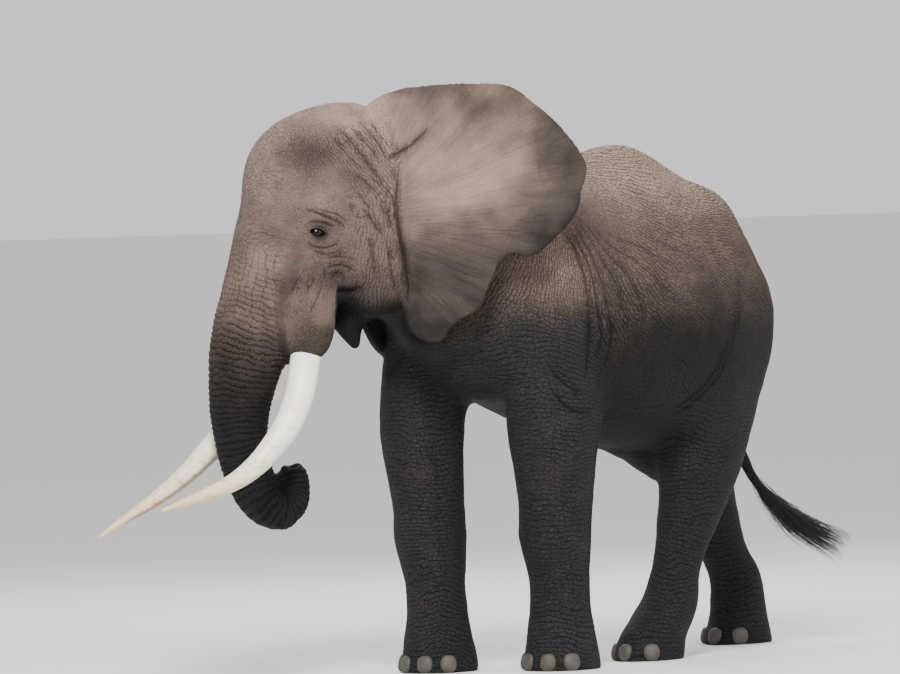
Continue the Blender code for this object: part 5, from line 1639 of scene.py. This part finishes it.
def skin_tone(place, points):
    slow = 0.09 * drift(points, 0.5, 91) + 0.06 * drift(points, 0.17, 92) + 0.03 * drift(points, 0.06, 93)
    # Paler towards the back and darker towards the belly and the feet: dust and damp, with painted light on
    # top and painted shade underneath.
    tone = tone_of(place.height + slow, BODY_TONES)
    # Paler on the shoulder, painted light where the ear's shadow falls, and on the outer sides of the
    # forelegs.
    tone -= 0.40 * np.exp(-(((points[:, 1] + 0.98) / 0.28) ** 2 + ((place.height - 2.42) / 0.24) ** 2))
    limb = ramp(place.height, 2.0, 1.7) * (np.abs(points[:, 0]) > 0.2)
    tone -= 0.13 * limb * ramp(-points[:, 1], 0.3, 0.7) * (0.7 + 0.6 * drift(points, 0.25, 94))
    tone += (head_tone(place, slow) - tone) * place.head
    tone += (tone_of(place.run + 1.2 * slow, TRUNK_TONES) - tone) * place.trunk
    tone += (ear_tone(place, points, slow) - tone) * place.ear
    tail = (points[:, 1] > 1.17) & (place.height > 0.6) & (place.leg < 1)
    tail &= np.linalg.norm(points[:, None, :] - tail_rows(0.1)[None, :, :3], axis=2).min(1) < 0.11
    tone = np.where(tail, np.maximum(tone, ramp(place.height, 2.6, 2.2) * 0.9), tone)
    return np.clip(tone, 0, 1)


def wrinkle_levels(place, points):
    """Counts the level wrinkles of the trunk, the head and the rest."""
    level = np.where(place.trunk > 0.01, place.ring_phase(points), place.band_phase(points))
    on_head = (place.head > 0.3) & (place.trunk < 0.01)
    return np.where(on_head, (2.95 - place.high) / RING_STEP, level)


def dress_skin(skin):
    """Stores what the skin's material reads at each point."""
    mesh = skin.data
    points = points_of(mesh)
    place = Places(points)
    store(mesh, "tone", skin_tone(place, points))
    for name in ("band", "trunk", "ear", "head"):
        store(mesh, name, getattr(place, name))
    store(mesh, "ringed", np.maximum(place.band, place.trunk * (0.50 + 0.50 * ramp(place.run, 0.45, 1.1))))
    lined = ramp(place.forward - place.ear_edge(), 0.36, 0.12) * ramp(place.high, 3.45, 3.2)
    store(mesh, "cheek", lined * place.head * (1 - place.trunk))
    crown = np.clip(patches(place, CROWN_SPOTS), 0, 1) * (1 - temple_share(place))
    store(mesh, "crown", crown * place.head)
    flow, far = place.flow_phase(points)
    store(mesh, "flow", np.stack([flow, far, wrinkle_levels(place, points)], axis=1), "FLOAT_VECTOR")
    store(mesh, "straight", place.straight, "FLOAT_VECTOR")
    store(mesh, "fan", np.stack([place.ear_back, place.fan, place.ear_high], axis=1), "FLOAT_VECTOR")


def creases(look, phase, width):
    """1 in narrow creases at each whole number of a phase, 0 between them."""
    return abs(look.add("ShaderNodeMath", {"operation": "SINE"}, {0: phase * math.pi})).ramp(width, 0.0)


def crease_net(look, place, warp, scale):
    """Cells with unsteady edges; warp is the scale and the size of their wandering."""
    return look.cells(look.shifted(place, look.noise_vector(look.place(), *warp)), scale)


def skin_material():
    """Creases over the hide, each lower than the skin between and painted darker with shade, and its tones of
    dust and damp, with painted light on top and painted shade below.
    """
    look = Shader("skin_look")
    place = look.place()
    straight, fan = look.stored("straight", "Vector"), look.stored("fan", "Vector")
    flow, far, level = look.parts(look.stored("flow", "Vector"))
    leg, trunk, ear, head = (look.stored(name) for name in ("band", "trunk", "ear", "head"))
    tone, crease, crown = (look.stored(name) for name in ("tone", "crease", "crown"))
    cheek, ringed = (look.stored(name) for name in ("cheek", "ringed"))
    aside, gap, strength = look.parts(look.stored("fold", "Vector"))
    patch = look.noise(place, 6.0, 4.0, 0.6)
    wander = look.noise(place, 13.0, 2.0) - 0.5
    grit = look.noise(place, 60.0, 3.0, 0.65)
    torso = 1 - (leg + trunk + ear + head * 1.2).ramp(0.0, 1.0)
    # Nets of creases: one about three centimetres across, a finer one inside it, and the face's own.
    net = crease_net(look, look.scaled(straight, (0.8, 0.95, 1.2)), (14.0, 0.030), 36.0)
    fine = crease_net(look, place, (40.0, 0.008), 110.0)
    face = crease_net(look, look.scaled(straight, (0.8, 1.25, 0.8)), (22.0, 0.030), 52.0)
    net_line = net.ramp(0.15, 0.01) * (1 - ear * 0.8) * (1 - head * 0.5) * (1 - trunk * 0.4)
    fine_line = fine.ramp(0.18, 0.0) * (1 - ear * 0.6)
    lively = (patch * 1.3 + tone * 0.5).ramp(0.55, 1.05, 0.25, 1.0)
    face_line = face.ramp(0.22, 0.02) * head * (1 - ear) * lively
    # Long wrinkles: fanned over the flank, level round the legs and the trunk, upright on the trunk's root.
    near_line = creases(look, flow + wander * 2.4, 0.60)
    far_line = creases(look, flow * 2.0 + wander * 2.6, 0.72)
    flow_line = near_line + (far_line - near_line) * far
    flow_line = flow_line * patch.ramp(0.30, 0.52, 0.60, 1.0) * (torso + cheek * 0.62)
    level_line = creases(look, level + wander * 1.6, 0.50) * ringed * patch.ramp(0.33, 0.55, 0.5, 1.0)
    across = look.parts(straight)[0]
    upright_line = creases(look, across * 27.0 + wander * 1.4, 0.35) * trunk * tone.ramp(0.7, 0.3)
    # The folds that are pressed into the mesh, and the rays of the ears.
    fold_line = abs(aside + wander * 1.2).ramp(0.60, 0.10) * gap.ramp(2.8, 1.7) * strength
    spokes = abs(look.noise(look.scaled(fan, (2.0, 13.0, 0.0)), 1.0, 3.0) - 0.5).ramp(0.06, 0.0) * ear
    lines = (  # how deep, in metres, and how dark
        (net_line, 0.0036, 0.62), (fine_line, 0.0012, 0.28), (flow_line, 0.0056, 1.0),
        (face_line, 0.0030, 0.36), (level_line, 0.0045, 0.85), (upright_line, 0.0026, 0.60),
        (spokes, 0.0022, 0.22), (fold_line, 0.0050, 1.1),
    )
    # Each line is pressed in by its depth and painted darker with shade by its darkness, on top of the stored
    # crease shade.
    height, shade = grit * 0.0010 + patch * 0.004, crease * 1.1
    for line, deep, darkness in lines:
        height = height - line * deep
        shade = shade + line * darkness
    told = tone + (patch - 0.5) * 0.30 + (grit - 0.5) * 0.16
    # From pale dust to dark damp skin by tone; the tones carry painted light on top and painted shade below.
    colour = look.mix(told.ramp(0.0, 0.36), PALE, DUSTY)
    colour = look.mix(told.ramp(0.30, 0.66), colour, BROWN)
    colour = look.mix(told.ramp(0.60, 1.0), colour, DAMP_AND_SHADE)
    colour = look.mix(leg * told.ramp(0.5, 0.9) * 0.55, colour, SLATE)
    colour = look.mix(ear * 0.5 * told.ramp(0.5, 0.1), colour, TAN)
    colour = look.mix(grit.ramp(0.52, 0.75) * told.ramp(1.0, 0.3, 0.03, 0.22), colour, DUST)
    speckle = look.noise(place, 100.0, 2.0, 0.6).ramp(0.46, 0.60)
    colour = look.mix(speckle * crown * 0.7, colour, ROSY)
    # The creases are painted darker with shade, browner on dry skin and near black on damp skin.
    dark = look.mix(told.ramp(0.2, 0.9), CREASE_SHADE_DRY, CREASE_SHADE_DAMP)
    colour = look.mix(shade.ramp(0.0, 1.2) * told.ramp(0.3, 0.9, 0.80, 0.93), colour, dark)
    rough = told.ramp(0.4, 1.0, 0.90, 0.72) + (grit - 0.5) * 0.12
    return look.finish({"Base Color": colour, "Roughness": rough, "Specular IOR Level": 0.16}, height)


def ivory_material():
    """White ivory, yellow towards the tip, streaked along its length, stained at the root, and browner below
    from staining and painted shade.
    """
    look = Shader("ivory_look")
    place, along = look.place(), look.stored("along")
    streak = look.noise(look.scaled(place, (9.0, 2.6, 9.0)), 4.0, 5.0, 0.6)
    cloud = look.noise(place, 5.0, 3.0)
    colour = look.mix(cloud.ramp(0.35, 0.7), IVORY, CREAM)
    colour = look.mix((along + (streak - 0.5) * 0.5).ramp(0.38, 0.92) * 0.9, colour, AMBER)
    colour = look.mix(streak.ramp(0.54, 0.70) * along.ramp(0.1, 0.7, 0.12, 0.55), colour, STREAK)
    # Brown below: staining, and painted shade on the tusk's underside.
    colour = look.mix((look.stored("stain_and_shade") + (streak - 0.5) * 0.8).ramp(0.35, 0.95) * 0.85, colour, STAIN_AND_SHADE)
    colour = look.mix(along.ramp(0.10, 0.0) * 0.5, colour, ROOT_STAIN)
    lines = look.noise(look.scaled(place, (60.0, 8.0, 60.0)), 2.0, 2.0)
    rough = streak.ramp(0.3, 0.8, 0.34, 0.55)
    inputs = {"Base Color": colour, "Roughness": rough, "Specular IOR Level": 0.45}
    return look.finish(inputs, lines * 0.0006 + streak * 0.0008)


def nail_material():
    """Dull grey horn with level growth bands."""
    look = Shader("nail_look")
    place = look.place()
    bands = look.noise(look.scaled(place, (6.0, 6.0, 60.0)), 2.0, 3.0)
    cloud = look.noise(place, 24.0, 3.0)
    colour = look.mix(cloud.ramp(0.3, 0.7), NAIL_PALE, NAIL_DARK)
    colour = look.mix(bands.ramp(0.5, 0.7) * 0.5, colour, NAIL_BAND)
    return look.finish({"Base Color": colour, "Roughness": 0.62}, bands * 0.0014 + cloud * 0.001)


def eye_material():
    """Pupil, iris, its dark rim and the brown of the ball, by the angle off the gaze."""
    look = Shader("eye_look")
    gaze = look.stored("gaze")
    rays = look.noise(look.place(), 260.0, 3.0, 0.6)
    iris = look.mix(rays.ramp(0.35, 0.65), IRIS, IRIS_DARK)
    colour = look.mix((gaze + (rays - 0.5) * 0.02).ramp(0.26, 0.33), PUPIL, iris)
    colour = look.mix(gaze.ramp(0.52, 0.60), colour, EYE_RIM)
    colour = look.mix(gaze.ramp(0.75, 0.95), colour, EYE_WHITE)
    return look.finish({"Base Color": colour, "Roughness": 0.10, "Specular IOR Level": 0.25})


def plain_material(name, colour, roughness):
    return Shader(name).finish({"Base Color": (*colour, 1), "Roughness": roughness})


# ---------------------------------------------------------------- the model
FLESH_NODES = (
    "barrel", "chest", "neck", "hindquarters", "head", "lower_jaw",
    "trunk_upper", "trunk_middle", "trunk_lower", "trunk_tip", "ear_left", "ear_right", "tail",
    *(f"foreleg_{side}_{part}" for side in SIDES for part in ("foot", "shank", "forearm", "shoulder")),
    *(f"hindleg_{side}_{part}" for side in SIDES for part in ("foot", "shank", "thigh")),
)


def place_piece(piece, material, shift, slot, *nodes):
    """Gives a piece its material, moves it onto the solids and hides the parts it replaces."""
    piece.data.transform(Matrix.Translation(Vector(shift)))
    piece.data.materials.clear()
    piece.data.materials.append(material)
    piece.data.polygons.foreach_set("material_index", [0] * len(piece.data.polygons))
    piece.data.shade_smooth()
    if nodes:
        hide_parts(*nodes)
    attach(piece, "root")


def make_elephant():
    """Every piece; returns how far the solids lie from where the masses are."""
    masses = body_masses()
    low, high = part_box("eye_left")
    shift = (np.array(low) + np.array(high)) / 2 - solid_eye_centre(masses)
    skin = whole_flesh(masses)
    even_out(skin)
    swell(skin)
    thin_out(skin, SKIN_FACES)
    fold_skin(skin, masses)
    for name, side in SIDES.items():
        middle = eye_middle(side, masses)
        split_near(skin, Vector(middle))
        form_lids(skin, side, middle)
        place_piece(eyeball(side, middle), eye_material(), shift, "eye", f"eye_{name}")
        lash_look = plain_material("lash_look", LASH_BLACK, 0.5)
        place_piece(lashes(side, middle), lash_look, shift, "tail_hair")
        place_piece(fine_tusk(f"tusk_{name}", side), ivory_material(), shift, "ivory", f"tusk_{name}")
    dress_skin(skin)
    place_piece(skin, skin_material(), shift, "skin", *FLESH_NODES)
    for foot, middle, length, width, angles in soles():
        nodes = [f"toenail_{foot}_{number}" for number in range(1, len(angles) + 1)]
        nails = foot_nails(foot, middle, length, width, angles)
        place_piece(nails, nail_material(), shift, "toenail", *nodes)
    hair_look = plain_material("hair_look", HAIR_BLACK, 0.48)
    place_piece(tail_hairs(), hair_look, shift, "tail_hair", "tail_tuft")
    return shift


# ---------------------------------------------------------------- floor, light and camera
FLOOR_REACH = 600  # wide enough for its edge to lie at the horizon


def lay_floor():
    bm = bmesh.new()
    bmesh.ops.create_circle(bm, cap_ends=True, segments=96, radius=FLOOR_REACH)
    floor = new_object("floor", bm)
    floor.data.materials.append(plain_material("floor_look", (0.80, 0.79, 0.77), 0.9))


LIGHTS = (  # name, place, what it points at, width, watts, colour
    ("key", (7, -9, 11), (0, 0, 1.8), 5, 3200, (1.0, 0.98, 0.95)),
    ("fill", (12, 2, 6), (0, 0, 1.8), 8, 350, (0.97, 0.98, 1.0)),
    ("back", (-7, 8, 9), (0, 0, 2.0), 6, 900, (1.0, 1.0, 1.0)),
)


def add_light(name, place, aim, size, power, colour):
    data = bpy.data.lights.new(name, "AREA")
    data.shape, data.size, data.energy, data.color = "DISK", size, power, colour
    light = link_new(name, data)
    light.location = place
    light.rotation_euler = (Vector(aim) - Vector(place)).to_track_quat("-Z", "Y").to_euler()


AZIMUTH, PITCH, ROLL = 42, 1.0575, 1.81  # degrees: round from straight ahead, down, and over to the left
DISTANCE, ASIDE, EYE_HEIGHT = 50, -0.9266, 2.98  # of the camera from the middle of the floor
SENSOR, FOCAL_SHARE = 36, 8.849  # millimetres, and the focal length over that
FAR_CLIP = 1500


def add_camera(shift):
    data = bpy.data.cameras.new("camera")
    data.sensor_width = SENSOR
    data.lens = SENSOR * FOCAL_SHARE
    data.clip_end = FAR_CLIP
    camera = link_new("camera", data)
    azimuth, pitch, roll = (math.radians(angle) for angle in (AZIMUTH, PITCH, ROLL))
    right = Vector((math.cos(azimuth), math.sin(azimuth), 0))
    toward = Vector((math.sin(azimuth), -math.cos(azimuth), 0))
    look = -toward * math.cos(pitch) - Vector((0, 0, math.sin(pitch)))
    up = right.cross(look)
    sideways = right * math.cos(roll) - up * math.sin(roll)
    axes = Matrix((sideways, up * math.cos(roll) + right * math.sin(roll), -look))
    place = right * ASIDE + toward * DISTANCE + Vector((0, 0, EYE_HEIGHT)) + Vector(shift)
    camera.matrix_world = Matrix.Translation(place) @ axes.transposed().to_4x4()
    bpy.context.scene.camera = camera


def add_world():
    """Even pale light from all round."""
    world = bpy.data.worlds.new("world")
    bpy.context.scene.world = world
    world.use_nodes = True
    background = world.node_tree.nodes["Background"]
    background.inputs["Color"].default_value = (0.94, 0.94, 0.94, 1)
    background.inputs["Strength"].default_value = 0.98


shift = make_elephant()
lay_floor()
add_world()
for light in LIGHTS:
    add_light(*light)
add_camera(shift)
